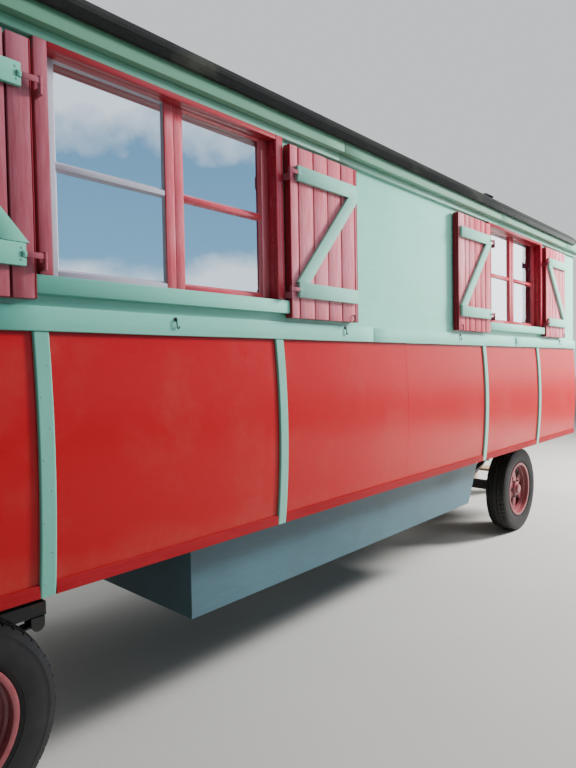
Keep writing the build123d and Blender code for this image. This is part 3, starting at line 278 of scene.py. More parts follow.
def solid_boxes(node: str) -> list[tuple[Array, Array]]:
    """The lowest and highest corner of each separate solid in a node, sorted along x, y and z.

    Corners at the same place get one number, and every triangle passes the lowest number of its corners on
    until nothing changes, so that each solid ends with a number of its own.

    Args:
        node: The node's name.

    Returns:
        One pair of corners for each solid.
    """
    mesh = frame["nodes"][node].data
    points = np.empty(len(mesh.vertices) * 3, np.float32)
    mesh.vertices.foreach_get("co", points)
    points = points.reshape(-1, 3).astype(float)
    corners = np.empty(len(mesh.loops), np.int32)
    mesh.loops.foreach_get("vertex_index", corners)
    _, same = np.unique(np.round(points, 5), axis=0, return_inverse=True)
    same = same.reshape(-1)
    triangles = same[corners.reshape(-1, 3)]
    label = np.arange(same.max() + 1)
    while True:
        lowest = label[triangles].min(axis=1)
        fresh = label.copy()
        for corner in range(3):
            np.minimum.at(fresh, triangles[:, corner], lowest)
        if np.array_equal(fresh, label):
            break
        label = fresh
    owner = label[same]
    solids = [points[owner == value] for value in np.unique(owner)]
    boxes = [(solid.min(axis=0), solid.max(axis=0)) for solid in solids]
    return sorted(boxes, key=lambda pair: tuple(np.round(pair[0], 3)))


class Reading:
    """A number that varies over a surface, with Python's operators for shader maths."""

    def __init__(self, tree: bpy.types.NodeTree, socket: bpy.types.NodeSocket) -> None:
        """Keeps the node tree and the output socket."""
        self.tree = tree
        self.socket = socket

    def _with(self, operation: str, *values: Union["Reading", float], clamp: bool = False) -> "Reading":
        """Adds one Math node.

        Args:
            operation: The node's operation.
            values: Its inputs, readings or numbers.
            clamp: Whether the result stays between 0 and 1.

        Returns:
            The node's result.
        """
        node = self.tree.nodes.new("ShaderNodeMath")
        node.operation = operation
        node.use_clamp = clamp
        for index, value in enumerate(values):
            if isinstance(value, Reading):
                self.tree.links.new(value.socket, node.inputs[index])
            else:
                node.inputs[index].default_value = value
        return Reading(self.tree, node.outputs[0])

    def __add__(self, other: Union["Reading", float]) -> "Reading":
        """Sum."""
        return self._with("ADD", self, other)

    def __sub__(self, other: Union["Reading", float]) -> "Reading":
        """Difference."""
        return self._with("SUBTRACT", self, other)

    def __rsub__(self, other: float) -> "Reading":
        """A number less this."""
        return self._with("SUBTRACT", other, self)

    def __mul__(self, other: Union["Reading", float]) -> "Reading":
        """Product."""
        return self._with("MULTIPLY", self, other)

    __radd__ = __add__
    __rmul__ = __mul__

    def band(self, low: float, high: float) -> "Reading":
        """0 under `low`, 1 over `high`, even between them.

        Args:
            low: Where the result leaves 0.
            high: Where it reaches 1; less than `low` turns the result round.

        Returns:
            The result.
        """
        return self._with("MULTIPLY", self - low, 1.0 / (high - low), clamp=True)


class Grain(Enum):
    """The direction in which a board's grain and brush marks run."""

    ALONG_X = (1.2, 14.0, 14.0)
    ALONG_Y = (14.0, 1.2, 14.0)
    ALONG_Z = (14.0, 14.0, 1.2)
    EVEN = (6.0, 6.0, 6.0)


class Coat:
    """A material under construction, with its nodes made through one method."""

    def __init__(self, name: str) -> None:
        """Makes the material with its principled shader."""
        self.material = bpy.data.materials.new(name)
        self.material.use_nodes = True
        self.tree = self.material.node_tree
        self.shader = self.tree.nodes["Principled BSDF"]
        self.place = self.node("ShaderNodeTexCoord").outputs["Object"]

    def node(self, kind: str, settings: dict[str, Any] | None = None, **inputs: Any) -> bpy.types.Node:
        """Adds a node, sets its settings first and then its inputs.

        Args:
            kind: The node's type.
            settings: Its properties.
            inputs: Its sockets by name, with _ for a space: a number, a colour, a socket or a reading.

        Returns:
            The node.
        """
        made = self.tree.nodes.new(kind)
        for key, value in (settings or {}).items():
            setattr(made, key, value)
        for key, value in inputs.items():
            self.feed(made.inputs[key.replace("_", " ")], value)
        return made

    def feed(self, socket: bpy.types.NodeSocket, value: Any) -> None:
        """Links or sets one input.

        Args:
            socket: The input.
            value: A reading, an output socket, a colour or a number.
        """
        if isinstance(value, Reading):
            value = value.socket
        if isinstance(value, bpy.types.NodeSocket):
            self.tree.links.new(value, socket)
        elif isinstance(value, tuple) and len(value) == 3 and socket.type == "RGBA":
            socket.default_value = (*value, 1.0)
        else:
            socket.default_value = value

    def axis(self, letter: str) -> Reading:
        """The place along one axis, in metres.

        Args:
            letter: X, Y or Z.

        Returns:
            The reading.
        """
        parts = self.node("ShaderNodeSeparateXYZ", Vector=self.place)
        return Reading(self.tree, parts.outputs[letter])

    def noise(self, scale: float, detail: float = 3.0, grain: Grain | None = None,
              rough: float = 0.5) -> Reading:
        """Cloudy noise, about 0.5 on average.

        Args:
            scale: Repeats per metre.
            detail: Octaves.
            grain: Stretches the noise along a board.
            rough: How strong the fine octaves are.

        Returns:
            The reading.
        """
        place = self.place
        if grain:
            place = self.node("ShaderNodeMapping", Vector=place, Scale=grain.value).outputs[0]
        made = self.node("ShaderNodeTexNoise", Vector=place, Scale=scale, Detail=detail, Roughness=rough)
        return Reading(self.tree, made.outputs[0])

    def specks(self, scale: float) -> Reading:
        """Distance to the nearest of scattered points, in cell sizes.

        Args:
            scale: Points per metre.

        Returns:
            The reading.
        """
        made = self.node("ShaderNodeTexVoronoi", Vector=self.place, Scale=scale)
        return Reading(self.tree, made.outputs["Distance"])

    def mix(self, factor: Reading | float, first: Any, second: Any) -> bpy.types.NodeSocket:
        """Blends two colours.

        Args:
            factor: Share of the second.
            first: A colour or a colour socket.
            second: A colour or a colour socket.

        Returns:
            The blended colour.
        """
        made = self.tree.nodes.new("ShaderNodeMix")
        made.data_type = "RGBA"
        self.feed(made.inputs[0], factor)
        self.feed(made.inputs[6], first)
        self.feed(made.inputs[7], second)
        return made.outputs[2]

    def finish(self, colour: Any, roughness: Any, height: Reading | None = None, depth: float = 0.001,
               **fixed: Any) -> bpy.types.Material:
        """Sets the shader.

        Args:
            colour: Base colour.
            roughness: Roughness.
            height: Relief, 0 to 1.
            depth: What a relief of 1 means, in metres.
            fixed: More of the shader's sockets, each one number or colour.

        Returns:
            The material.
        """
        self.feed(self.shader.inputs["Base Color"], colour)
        self.feed(self.shader.inputs["Roughness"], roughness)
        if height is not None:
            bump = self.node("ShaderNodeBump", Height=height, Distance=depth)
            self.feed(self.shader.inputs["Normal"], bump.outputs[0])
        for key, value in fixed.items():
            self.feed(self.shader.inputs[key.replace("_", " ")], value)
        return self.material


class Sky(Coat):
    """The world's colour, with the same nodes as a material, placed by the direction of view."""

    def __init__(self, tree: bpy.types.NodeTree) -> None:
        """Works in the world's own node tree."""
        self.tree = tree
        self.place = self.node("ShaderNodeTexCoord").outputs["Generated"]


@dataclass(frozen=True)
class Paint:
    """Brushed paint on wood or sheet: brush marks, faded clouds, dust and chips that bare what is under it,
    and painted shade: a darker tone towards the front end, where one is given."""

    name: str
    colour: Rgb
    faded: Rgb
    under: Rgb
    grain: Grain = Grain.EVEN
    gloss: float = 0.3
    coat: float = 0.3
    fading: float = 0.5
    chips: float = 0.0
    brush: float = 0.0006
    swell: float = 0.0
    dirt: Rgb = (0.10, 0.085, 0.06)
    dirt_share: float = 0.25
    dirt_low: float = 0.0
    dirt_high: float = 0.0
    # Painted shade towards the front end: its colour, and the range along x over which it comes in.
    painted_front_shade: Rgb | None = None
    painted_front_shade_range: tuple[float, float] = (0.4, -2.2)
    sheen: float = 0.5

    def make(self) -> bpy.types.Material:
        """Builds the material.

        Returns:
            The material.
        """
        coat = Coat(self.name)
        clouds = coat.noise(0.9, 4.0)
        streaks = coat.noise(5.0, 5.0, self.grain, 0.6)
        fine = coat.noise(55.0, 2.0, self.grain)
        fade = (clouds * 0.6 + streaks * 0.4).band(0.42, 0.62)
        colour = coat.mix(fade * self.fading, self.colour, self.faded)
        # Painted shade: darker towards the front end, where shade falls.
        if self.painted_front_shade is not None:
            colour = coat.mix(coat.axis("X").band(*self.painted_front_shade_range) * 0.8, colour, self.painted_front_shade)
        smudge = coat.noise(2.6, 6.0, None, 0.65).band(0.5, 0.75) * self.dirt_share
        if self.dirt_high != self.dirt_low:
            splash = coat.axis("Z") + coat.noise(3.5, 5.0) * 0.3
            smudge = smudge + splash.band(self.dirt_high, self.dirt_low) * 0.55
        colour = coat.mix(smudge * streaks, colour, self.dirt)
        relief = streaks * 0.7 + fine * 0.3
        rough = streaks * 0.12 + smudge * 0.4 + (self.gloss - 0.06)
        if self.chips:
            start = 0.74 - 0.16 * self.chips
            bare = coat.noise(16.0, 8.0, self.grain, 0.7).band(start, 0.77 - 0.16 * self.chips)
            colour = coat.mix(bare, colour, coat.mix(fine, self.under, tuple(c * 0.55 for c in self.under)))
            relief = relief - bare * 0.35
            rough = rough + bare * 0.35
        if self.swell:
            relief = relief + coat.noise(1.3, 2.0) * (self.swell / self.brush)
        return coat.finish(colour, rough, relief, self.brush, Coat_Weight=self.coat,
                           Coat_Roughness=self.gloss * 0.5, Specular_IOR_Level=self.sheen)


@dataclass(frozen=True)
class Timber:
    """Bare weathered timber: long grain in light and dark, silvered patches and fine checks."""

    name: str
    light: Rgb
    dark: Rgb
    grain: Grain
    silver: float = 0.35

    def make(self) -> bpy.types.Material:
        """Builds the material.

        Returns:
            The material.
        """
        coat = Coat(self.name)
        rings = coat.noise(4.5, 6.0, self.grain, 0.65)
        fibre = coat.noise(34.0, 3.0, self.grain, 0.6)
        weather = coat.noise(1.7, 4.0).band(0.4, 0.65)
        colour = coat.mix(rings.band(0.34, 0.66), self.dark, self.light)
        colour = coat.mix(fibre.band(0.55, 0.75) * 0.5, colour, tuple(c * 0.4 for c in self.dark))
        colour = coat.mix(weather * self.silver, colour, (0.30, 0.29, 0.27))
        checks = fibre.band(0.62, 0.70)
        return coat.finish(colour, rings * 0.2 + 0.62, rings * 0.5 + fibre * 0.5 - checks * 0.4, 0.0016)


@dataclass(frozen=True)
class Iron:
    """Painted iron: an even skin with rust that breaks through in patches and specks."""

    name: str
    colour: Rgb
    rust: float = 0.3
    gloss: float = 0.45

    def make(self) -> bpy.types.Material:
        """Builds the material.

        Returns:
            The material.
        """
        coat = Coat(self.name)
        patches = coat.noise(5.0, 8.0, None, 0.7)
        eaten = patches.band(0.66 - 0.22 * self.rust, 0.76 - 0.22 * self.rust)
        grit = coat.noise(90.0, 3.0)
        rust_colour = coat.mix(grit, (0.13, 0.045, 0.018), (0.27, 0.10, 0.035))
        dusty = coat.mix(coat.noise(2.2, 5.0).band(0.45, 0.7) * 0.35, self.colour, (0.16, 0.14, 0.11))
        colour = coat.mix(eaten, dusty, rust_colour)
        rough = eaten * 0.4 + grit * 0.12 + (self.gloss - 0.06)
        height = eaten * 0.4 + grit * 0.35 + patches * 0.25
        return coat.finish(colour, rough, height, 0.0009)


@dataclass(frozen=True)
class Felt:
    """Mineral roofing felt: black bitumen under grey grit, worn and dusty in clouds, and paler to the rear as
    painted light.
    """

    name: str
    dark: Rgb
    grit: Rgb
    # Painted light towards the rear: its share, and the range along x over which it comes in.
    painted_rear_light: float = 0.3
    painted_rear_light_range: tuple[float, float] = (1.0, 4.7)

    def make(self) -> bpy.types.Material:
        """Builds the material.

        Returns:
            The material.
        """
        coat = Coat(self.name)
        grains = coat.specks(420.0)
        worn = coat.noise(1.4, 6.0, None, 0.6)
        colour = coat.mix(grains.band(0.55, 0.2) * worn.band(0.3, 0.7), self.dark, self.grit)
        colour = coat.mix(coat.noise(3.2, 5.0).band(0.56, 0.76) * 0.35, colour, (0.11, 0.115, 0.085))
        # Painted light: paler towards the rear, where the light falls.
        pale = coat.axis("X").band(*self.painted_rear_light_range) * self.painted_rear_light
        colour = coat.mix(pale, colour, (0.11, 0.125, 0.12))
        height = grains.band(0.6, 0.1) * 0.3 + coat.noise(7.0, 3.0) * 0.7
        return coat.finish(colour, worn * 0.15 + 0.78, height, 0.0022)


@dataclass(frozen=True)
class Rubber:
    """Tyre rubber: black, greyed by dust in clouds and more of it towards the ground."""

    name: str
    colour: Rgb
    dust: Rgb

    def make(self) -> bpy.types.Material:
        """Builds the material.

        Returns:
            The material.
        """
        coat = Coat(self.name)
        clouds = coat.noise(6.0, 6.0, None, 0.65)
        fine = coat.noise(160.0, 3.0)
        low = coat.axis("Z").band(0.35, 0.0)
        share = clouds.band(0.45, 0.7) * 0.32 + low * 0.22
        return coat.finish(coat.mix(share, self.colour, self.dust), clouds * 0.15 + 0.6, fine, 0.0005)


@dataclass(frozen=True)
class Glass:
    """Old window glass: slightly wavy, with a bright sheen that gives back much of the sky, and clearer next
    to the curtain."""

    name: str
    tint: Rgb = (0.84, 0.92, 0.97)
    sheen: float = 0.86
    clear: float = 0.15
    clear_from: float = 0.02
    clear_blend: float = 0.03
    clear_side: tuple[float, float] = (-1.0, -1.04)
    dust: float = 0.06

    def make(self) -> bpy.types.Material:
        """Builds the material.

        Returns:
            The material.
        """
        coat = Coat(self.name)
        ripple = coat.noise(2.1, 1.0)
        film = coat.noise(9.0, 6.0, None, 0.65).band(0.5, 0.8) * self.dust
        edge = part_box("curtain")[0].x - self.clear_from
        clear = coat.axis("X").band(edge, edge + self.clear_blend) * coat.axis("Y").band(*self.clear_side)
        return coat.finish(self.tint, film + 0.015, ripple, 0.0012, Transmission_Weight=1.0, IOR=1.5,
                           Metallic=clear * (self.clear - self.sheen) + self.sheen, Specular_IOR_Level=0.2)


@dataclass(frozen=True)
class Metal:
    """Worn solid metal, such as brass or galvanised steel, with fine scratches and a dull film."""

    name: str
    colour: Rgb
    film: Rgb
    gloss: float = 0.3

    def make(self) -> bpy.types.Material:
        """Builds the material.

        Returns:
            The material.
        """
        coat = Coat(self.name)
        clouds = coat.noise(14.0, 6.0, None, 0.6).band(0.4, 0.7)
        scratches = coat.noise(260.0, 2.0)
        rough = clouds * 0.25 + scratches * 0.08 + self.gloss
        colour = coat.mix(clouds * 0.6, self.colour, self.film)
        return coat.finish(colour, rough, scratches, 0.0002, Metallic=1.0)


@dataclass(frozen=True)
class Cloth:
    """Cotton cloth: a plain weave of threads across and down, with slight shade between the threads."""

    name: str
    colour: Rgb
    shade: Rgb
    threads: float = 900.0

    def make(self) -> bpy.types.Material:
        """Builds the material.

        Returns:
            The material.
        """
        coat = Coat(self.name)
        scale = self.threads / 6.28
        warp, weft = (
            coat.node("ShaderNodeTexWave", {"bands_direction": way}, Vector=coat.place, Scale=scale)
            for way in "XZ"
        )
        weave = (Reading(coat.tree, warp.outputs[1]) + Reading(coat.tree, weft.outputs[1])) * 0.5
        tone = coat.noise(5.0, 3.0) * 0.5 + weave * 0.5
        return coat.finish(coat.mix(tone, self.shade, self.colour), 0.85, weave, 0.0003, Sheen_Weight=0.25)


class Workshop:
    """Holds the finishes by their slot, and is the one way in which a piece joins the wagon."""

    def __init__(self, finishes: dict[str, bpy.types.Material]) -> None:
        """Keeps the finishes."""
        self.finishes = finishes

    def add(self, name: str, shell: Shell, slot: str, body: str = "root", replaces: Sequence[str] = (),
            finish: str | None = None) -> bpy.types.Object:
        """Makes a piece of a shell and lets it ride on a body.

        Args:
            name: The piece's name.
            shell: Its points and faces.
            slot: The record's material slot.
            body: The body it rides on.
            replaces: CAD nodes that it stands for.
            finish: The finish, where it isn't the slot's own.

        Returns:
            The new object.
        """
        return self.place(name, shell.mesh(name), slot, body, replaces, finish)

    def place(self, name: str, mesh: bpy.types.Mesh, slot: str, body: str, replaces: Sequence[str] = (),
              finish: str | None = None) -> bpy.types.Object:
        """Makes a piece of a mesh and lets it ride on a body.

        Args:
            name: The piece's name.
            mesh: Its mesh.
            slot: The record's material slot.
            body: The body it rides on.
            replaces: CAD nodes that it stands for.
            finish: The finish, where it isn't the slot's own.

        Returns:
            The new object.
        """
        piece = put(name, mesh)
        mesh.materials.append(self.finishes[finish or slot])
        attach(piece, body)
        if replaces:
            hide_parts(*replaces)
        log.info("%s: %d faces", name, len(mesh.polygons))
        return piece

    def paint_node(self, node: str, finish: str) -> None:
        """Gives a CAD node that stays a finish.

        Args:
            node: The node's name.
            finish: The finish's name.
        """
        mesh = frame["nodes"][node].data
        mesh.materials.clear()
        mesh.materials.append(self.finishes[finish])
        log.info("%s: CAD node painted", node)


@dataclass
class Boards:
    """A node made of plain boards, each with rounded edges."""

    node: str
    slot: str
    radius: float = 0.003
    wave: float = 0.0
    joints: tuple[float, ...] = ()
    gap: float = 0.0016
    shortest: float = 0.3

    def build(self, shop: Workshop) -> None:
        """Makes a rounded board in the place of each solid of the node, butted at the joints along x.

        Args:
            shop: Takes the piece.
        """
        shell = Shell()
        for index, (low, high) in enumerate(solid_boxes(self.node)):
            for part, (start, end) in enumerate(self.runs(low[0], high[0])):
                board(shell, (start, *low[1:]), (end, *high[1:]), self.radius, self.wave, 10 * index + part)
        shop.add(f"{self.node}_boards", shell, self.slot, replaces=[self.node])

    def runs(self, low: float, high: float) -> list[tuple[float, float]]:
        """Cuts a range along x at the joints that lie inside it.

        Args:
            low: Where the board starts.
            high: Where it ends.

        Returns:
            The start and end of each part.
        """
        inside = [joint for joint in self.joints if low + self.shortest < joint < high - self.shortest]
        starts = [low, *(joint + self.gap / 2 for joint in inside)]
        ends = [*(joint - self.gap / 2 for joint in inside), high]
        return list(zip(starts, ends))


@dataclass
class Fascia(Boards):
    """The fascia in two steps: a thin frieze board against the wall, and a thick board over it."""

    step_height: float = 0.037
    step_out: float = 0.022

    def build(self, shop: Workshop) -> None:
        """Makes both boards on every wall.

        Args:
            shop: Takes the pieces.
        """
        middle = frame_middle()
        shell, strip = Shell(), Shell()
        for index, (low, high) in enumerate(solid_boxes(self.node)):
            thin = int(np.argmin((high - low)[:2]))
            outer = high if (low + high)[thin] > 2 * middle[thin] else low
            inner = low if outer is high else high
            for part, (start, end) in enumerate(self.runs(low[0], high[0])):
                level = low[2] + self.step_height
                back = (high - low)[thin] - self.step_out if thin else 0.0
                board(shell, (start, low[1], level), (end, high[1], high[2]), self.radius, self.wave,
                      10 * index + part)
                near = np.array([max(start, low[0] + back), low[1], low[2]])
                far = np.array([min(end, high[0] - back), high[1], level])
                face = inner[thin] + np.sign(outer[thin] - inner[thin]) * self.step_out
                (far if outer is high else near)[thin] = face
                board(strip, near, far)
        # The fascia takes a darker copy of the mint paint as painted shade, the frieze a lighter one as
        # painted light.
        shop.add("fascia_boards", shell, self.slot, replaces=[self.node], finish="fascia_painted_shade")
        shop.add("frieze_boards", strip, self.slot, finish="frieze_painted_light")


@dataclass
class LowerSides:
    """The bowed red sheets of both sides with their battens and nails."""

    bow_height: float = 0.545
    foot_in: float = 0.004
    seam: float = 0.0008
    batten_out: float = 0.012
    batten_back: float = 0.03
    batten_radius: float = 0.005
    steps: int = 28
    nail_pitch: float = 0.11
    nail_shift: float = 0.013
    nail_radius: float = 0.0042
    first_nail: float = 0.05
    last_nail: float = 0.03

    def __post_init__(self) -> None:
        """Fits the circle through the three outer points of the bowed section."""
        low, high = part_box("left_lower_wall")
        self.bottom, self.top, outermost = low.z, high.z, -low.y
        self.half = -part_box("left_upper_wall")[0].y
        self.inner = -high.y
        self.ends = (low.x, high.x)
        widest = [outermost, self.bottom + self.bow_height]
        points = np.array([[self.half, self.top], widest, [self.half - self.foot_in, self.bottom]])
        steps = points[1:] - points[0]
        centre = np.linalg.solve(2 * steps, (points[1:] ** 2).sum(axis=1) - (points[0] ** 2).sum())
        self.centre, self.radius = centre, float(np.linalg.norm(points[0] - centre))

    def out(self, z: Array) -> Array:
        """How far the sheet is from the middle plane at a height: centre + sqrt(radius^2 - (z - centre_z)^2).

        Args:
            z: Heights.

        Returns:
            Distances from the middle plane.
        """
        return self.centre[0] + np.sqrt(self.radius**2 - (np.asarray(z) - self.centre[1]) ** 2)

    def strip(self, shell: Shell, side: int, x_low: float, x_high: float, inner: float, lift: float,
              radius: float) -> None:
        """A closed strip along the bowed section: its outer face follows the bow, its inner face is plumb,
        and both outer edges are rounded by a quarter circle.

        Args:
            shell: The shell that takes it.
            side: -1 on the left, 1 on the right.
            x_low: Where it starts.
            x_high: Where it ends.
            inner: Distance of the inner face from the middle plane.
            lift: How far it stands proud of the sheet.
            radius: Radius of its upright outer edges.
        """
        z = np.linspace(self.bottom, self.top, self.steps)
        turn = np.linspace(0, np.pi / 2, 4)
        start, end = x_low + radius * (1 - np.cos(turn)), x_high - radius * (1 - np.cos(turn[::-1]))
        flat = np.array([x_low + 1.6 * radius, x_high - 1.6 * radius])
        rounding = radius * (1 - np.sin(turn))
        x = np.concatenate([start, flat, end])
        drop = np.concatenate([rounding, [0.0, 0.0], rounding[::-1]])
        outer = self.out(z)[:, None] + lift - drop[None]
        points = np.zeros((self.steps, len(x) + 2, 3))
        points[:, 1:-1, 0], points[:, 1:-1, 1] = x[None], outer
        points[:, 0, 0], points[:, -1, 0] = x_low, x_high
        points[:, (0, -1), 1] = inner
        points[..., 2] = z[:, None]
        points[..., 1] *= side
        shell.grid(points if side < 0 else points[:, ::-1], close_v=True, caps=True)

    def build(self, shop: Workshop) -> None:
        """Makes sheets, battens and nails on both sides.

        Args:
            shop: Takes the pieces.
        """
        battens = solid_boxes("battens")
        places = sorted({round(float((low[0] + high[0]) / 2), 4) for low, high in battens})
        pitch = places[1] - places[0]
        joints = [self.ends[0], *places[:2], places[1] + pitch, *places[2:], self.ends[1]]
        sheets, covers, nails = Shell(), Shell(), Shell()
        for side in (-1, 1):
            gap = self.seam / 2
            for start, end in zip(joints[:-1], joints[1:]):
                self.strip(sheets, side, start + gap, end - gap, self.inner, 0.0, self.seam)
            for low, high in battens:
                if low[1] * side > 0:
                    self.strip(covers, side, low[0], high[0], self.half - self.batten_back, self.batten_out,
                               self.batten_radius)
                    z = np.arange(self.bottom + self.first_nail, self.top - self.last_nail, self.nail_pitch)
                    for height, shift in zip(z, np.resize([-self.nail_shift, self.nail_shift], len(z))):
                        foot = self.out(height) + self.batten_out - 0.0005
                        at = ((low[0] + high[0]) / 2 + shift, side * foot, height)
                        nail(nails, at, (0, side, 0), self.nail_radius)
        shop.add("side_sheets", sheets, "red_panel", replaces=["left_lower_wall", "right_lower_wall"])
        shop.add("side_battens", covers, "batten_paint", replaces=["battens"])
        shop.add("batten_nails", nails, "batten_paint")


def nail(shell: Shell, at: Sequence[float], axis: Sequence[float], radius: float,
         height: float = 0.0016) -> None:
    """A low domed nail head: a turned arc from the edge to the middle.

    Args:
        shell: The shell that takes it.
        at: The middle of its foot.
        axis: The way it faces.
        radius: Its radius.
        height: How high it stands.
    """
    profile = ((-height, radius), (height * 0.35, radius), (height * 0.85, radius * 0.62),
               (height, radius * 0.2))
    lathe(shell, at, axis, profile, sides=10)


@dataclass
class Wall:
    """The face of a wall round one opening as a drawing board: a along the wall, n outwards and z up. The box
    is the opening's frame, which stands proud of the face."""

    low: Array
    high: Array
    proud: float

    def __post_init__(self) -> None:
        """Finds which wall the box lies in, and that wall's face."""
        size = self.high - self.low
        self.along, self.through = (0, 1) if size[0] > size[1] else (1, 0)
        self.sign = float(np.sign((self.low + self.high)[self.through] - 2 * frame_middle()[self.through]))
        self.middle = float((self.low + self.high)[self.along] / 2)
        self.face = (self.high if self.sign > 0 else self.low)[self.through] - self.sign * self.proud

    def block(self, shell: Shell, a: tuple[float, float], n: tuple[float, float], z: tuple[float, float],
              radius: float = 0.002, wave: float = 0.0, seed: int = 0) -> None:
        """A board given by its ranges on the wall.

        Args:
            shell: The shell that takes it.
            a: Range along the wall from the opening's middle.
            n: Range outwards from the wall's face.
            z: Range of heights.
            radius: Radius of its edges.
            wave: How far it bends.
            seed: Chooses the bend.
        """
        low, high = np.zeros(3), np.zeros(3)
        ends = sorted(self.face + self.sign * value for value in n)
        low[self.along], high[self.along] = self.middle + a[0], self.middle + a[1]
        low[self.through], high[self.through] = ends
        low[2], high[2] = z
        board(shell, low, high, radius, wave, seed)

    def spot(self, a: float, n: float, z: float) -> Point:
        """A point on the wall.

        Args:
            a: Along the wall from the opening's middle.
            n: Outwards from the wall's face.
            z: Height.

        Returns:
            The point.
        """
        at = np.zeros(3)
        at[self.along], at[self.through], at[2] = self.middle + a, self.face + self.sign * n, z
        return tuple(at)


def frame_middle() -> Array:
    """The middle of the body, from both upper side walls."""
    low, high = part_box("left_upper_wall"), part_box("right_upper_wall")
    return (np.array(low[0]) + np.array(high[1])) / 2


@dataclass
class Windows:
    """Casings, linings, divided sashes and glass of all five windows."""

    wall_thickness: float = 0.07
    casing_width: float = 0.05
    casing_head: float = 0.025
    casing_out: float = 0.025
    casing_radius: float = 0.004
    casing_bend: float = 0.0006
    head_radius: float = 0.003
    recess: float = 0.035
    stile: float = 0.048
    bar: float = 0.022
    rim: float = 0.025
    bar_inset: tuple[float, float] = (0.006, 0.002)
    bead: float = 0.009
    glass_half: float = 0.0026
    lining_radius: float = 0.001
    sash_radius: float = 0.0025
    bar_radius: float = 0.003
    pieces: tuple[tuple[str, tuple[str, ...], str | None], ...] = (
        ("window_casings", ("window_frames",), None),
        ("window_heads", (), "red_rail"),
        ("window_sashes", ("sashes",), "sash_paint"),
        ("sash_rails", (), "sash_rail"),
        ("window_putty", (), "sash_paint"),
        # The near window's casing on the shutter's hinge side is painted shade, dark where the shutter shades
        # it.
        ("hinge_side_painted_shade", (), "shutter_painted_shade"),
        ("pale_sash_bars", (), "pale_paint"),
    )

    def build(self, shop: Workshop) -> None:
        """Makes the windows.

        Args:
            shop: Takes the pieces.
        """
        shells = {name: Shell() for name, _, _ in self.pieces}
        boxes = zip(solid_boxes("window_frames"), solid_boxes("sashes"))
        for index, ((low, high), (sash_low, sash_high)) in enumerate(boxes):
            wall = Wall(low, high, self.casing_out)
            inner = (high - low)[wall.along] / 2 - self.casing_width
            near = wall.along == 0 and wall.sign < 0 and wall.middle < frame_middle()[0]
            self.casing(shells, wall, inner, near, index)
            for left in (-inner, 0.0):
                self.sash(shells, wall, (left, left + inner), (sash_low[2], sash_high[2]), near and left < 0)
        for name, replaces, finish in self.pieces:
            shop.add(name, shells[name], "red_trim", replaces=replaces, finish=finish)
        shop.paint_node("window_glass", "glass")

    def casing(self, shells: dict[str, Shell], wall: Wall, inner: float, near: bool, index: int) -> None:
        """The boards round one opening, and its lining.

        Args:
            shells: The shell of each piece.
            wall: The wall that the window is in.
            inner: Half the opening's width.
            near: Whether this is the near window of the left side.
            index: The window's number, which chooses how its boards bend.
        """
        foot, head = wall.low[2], wall.high[2]
        sill_top, top = solid_boxes("window_sills")[0][1][2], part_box("fascia")[0].z
        front, lining = (0, self.casing_out), (-self.wall_thickness, 0)
        for side in (-1, 1):
            edge = sorted((side * inner, side * (inner + self.casing_width)))
            # On the near window's hinge side the casing is painted shade.
            casing = shells["hinge_side_painted_shade" if near and side < 0 else "window_casings"]
            wall.block(casing, edge, front, (sill_top, top), self.casing_radius, self.casing_bend, index)
            wall.block(casing, edge, lining, (foot, head), self.lining_radius)
        heads, span = shells["window_heads"], (-inner, inner)
        wall.block(heads, span, front, (top - self.casing_head, top), self.head_radius)
        for depth, heights in (
            ((-self.recess, 0), (top - self.casing_head, head)),
            (lining, (foot, foot + self.rim)),
            ((-self.wall_thickness, -self.recess), (head - self.rim, head)),
        ):
            wall.block(heads, span, depth, heights, self.lining_radius)

    def sash(self, shells: dict[str, Shell], wall: Wall, a: tuple[float, float], z: tuple[float, float],
             pale: bool) -> None:
        """One sash with a bar across its middle: stiles, rails, bar and putty.

        Args:
            shells: The shell of each piece.
            wall: The wall that the window is in.
            a: Its range along the wall.
            z: Its range of heights.
            pale: Whether its left stile, foot and bar are the pale ones.
        """
        depth = (-self.wall_thickness, -self.recess)
        (left, right), (foot, head) = a, z
        light = (left + self.stile, right - self.stile)
        low_bar, high_bar = (foot + head) / 2 - self.bar / 2, (foot + head) / 2 + self.bar / 2
        bars = shells["pale_sash_bars" if pale else "sash_rails"]
        putty = shells["pale_sash_bars" if pale else "window_putty"]
        stile = shells["pale_sash_bars" if pale else "window_sashes"]
        for shell, span, heights in (
            (stile, (left, left + self.stile), (foot, head)),
            (shells["window_sashes"], (right - self.stile, right), (foot, head)),
            (bars, light, (foot, foot + self.stile)),
            (shells["sash_rails"], light, (head - self.stile, head)),
        ):
            wall.block(shell, span, depth, heights, self.sash_radius)
        thinner = (depth[0] + self.bar_inset[0], depth[1] - self.bar_inset[1])
        wall.block(bars, light, thinner, (low_bar, high_bar), self.bar_radius)
        self.putty(putty, wall, light, (foot + self.stile, low_bar))
        self.putty(putty, wall, light, (high_bar, head - self.stile))

    def putty(self, shell: Shell, wall: Wall, a: tuple[float, float], z: tuple[float, float]) -> None:
        """Slanting putty round a pane: a triangle's section carried round a rectangle with mitred corners.

        Args:
            shell: The shell that takes it.
            wall: The wall that the window is in.
            a: Range of the pane along the wall.
            z: Range of its heights.
        """
        glass = -(self.recess + self.wall_thickness) / 2 + self.glass_half
        corners = np.array([[a[0], z[0]], [a[1], z[0]], [a[1], z[1]], [a[0], z[1]]])
        inward = np.array([[1, 1], [-1, 1], [-1, -1], [1, -1]])
        section = ((0.0, glass), (self.bead, glass), (self.bead * 0.85, glass + 0.002),
                   (0.0, glass + self.bead))
        ring = np.array([[wall.spot(c[0] + s * i[0], n, c[1] + s * i[1]) for s, n in section]
                         for c, i in zip(corners, inward)])
        flip = wall.sign * (1 if wall.along == 0 else -1)
        shell.grid(ring if flip > 0 else ring[:, ::-1], close_u=True, close_v=True)


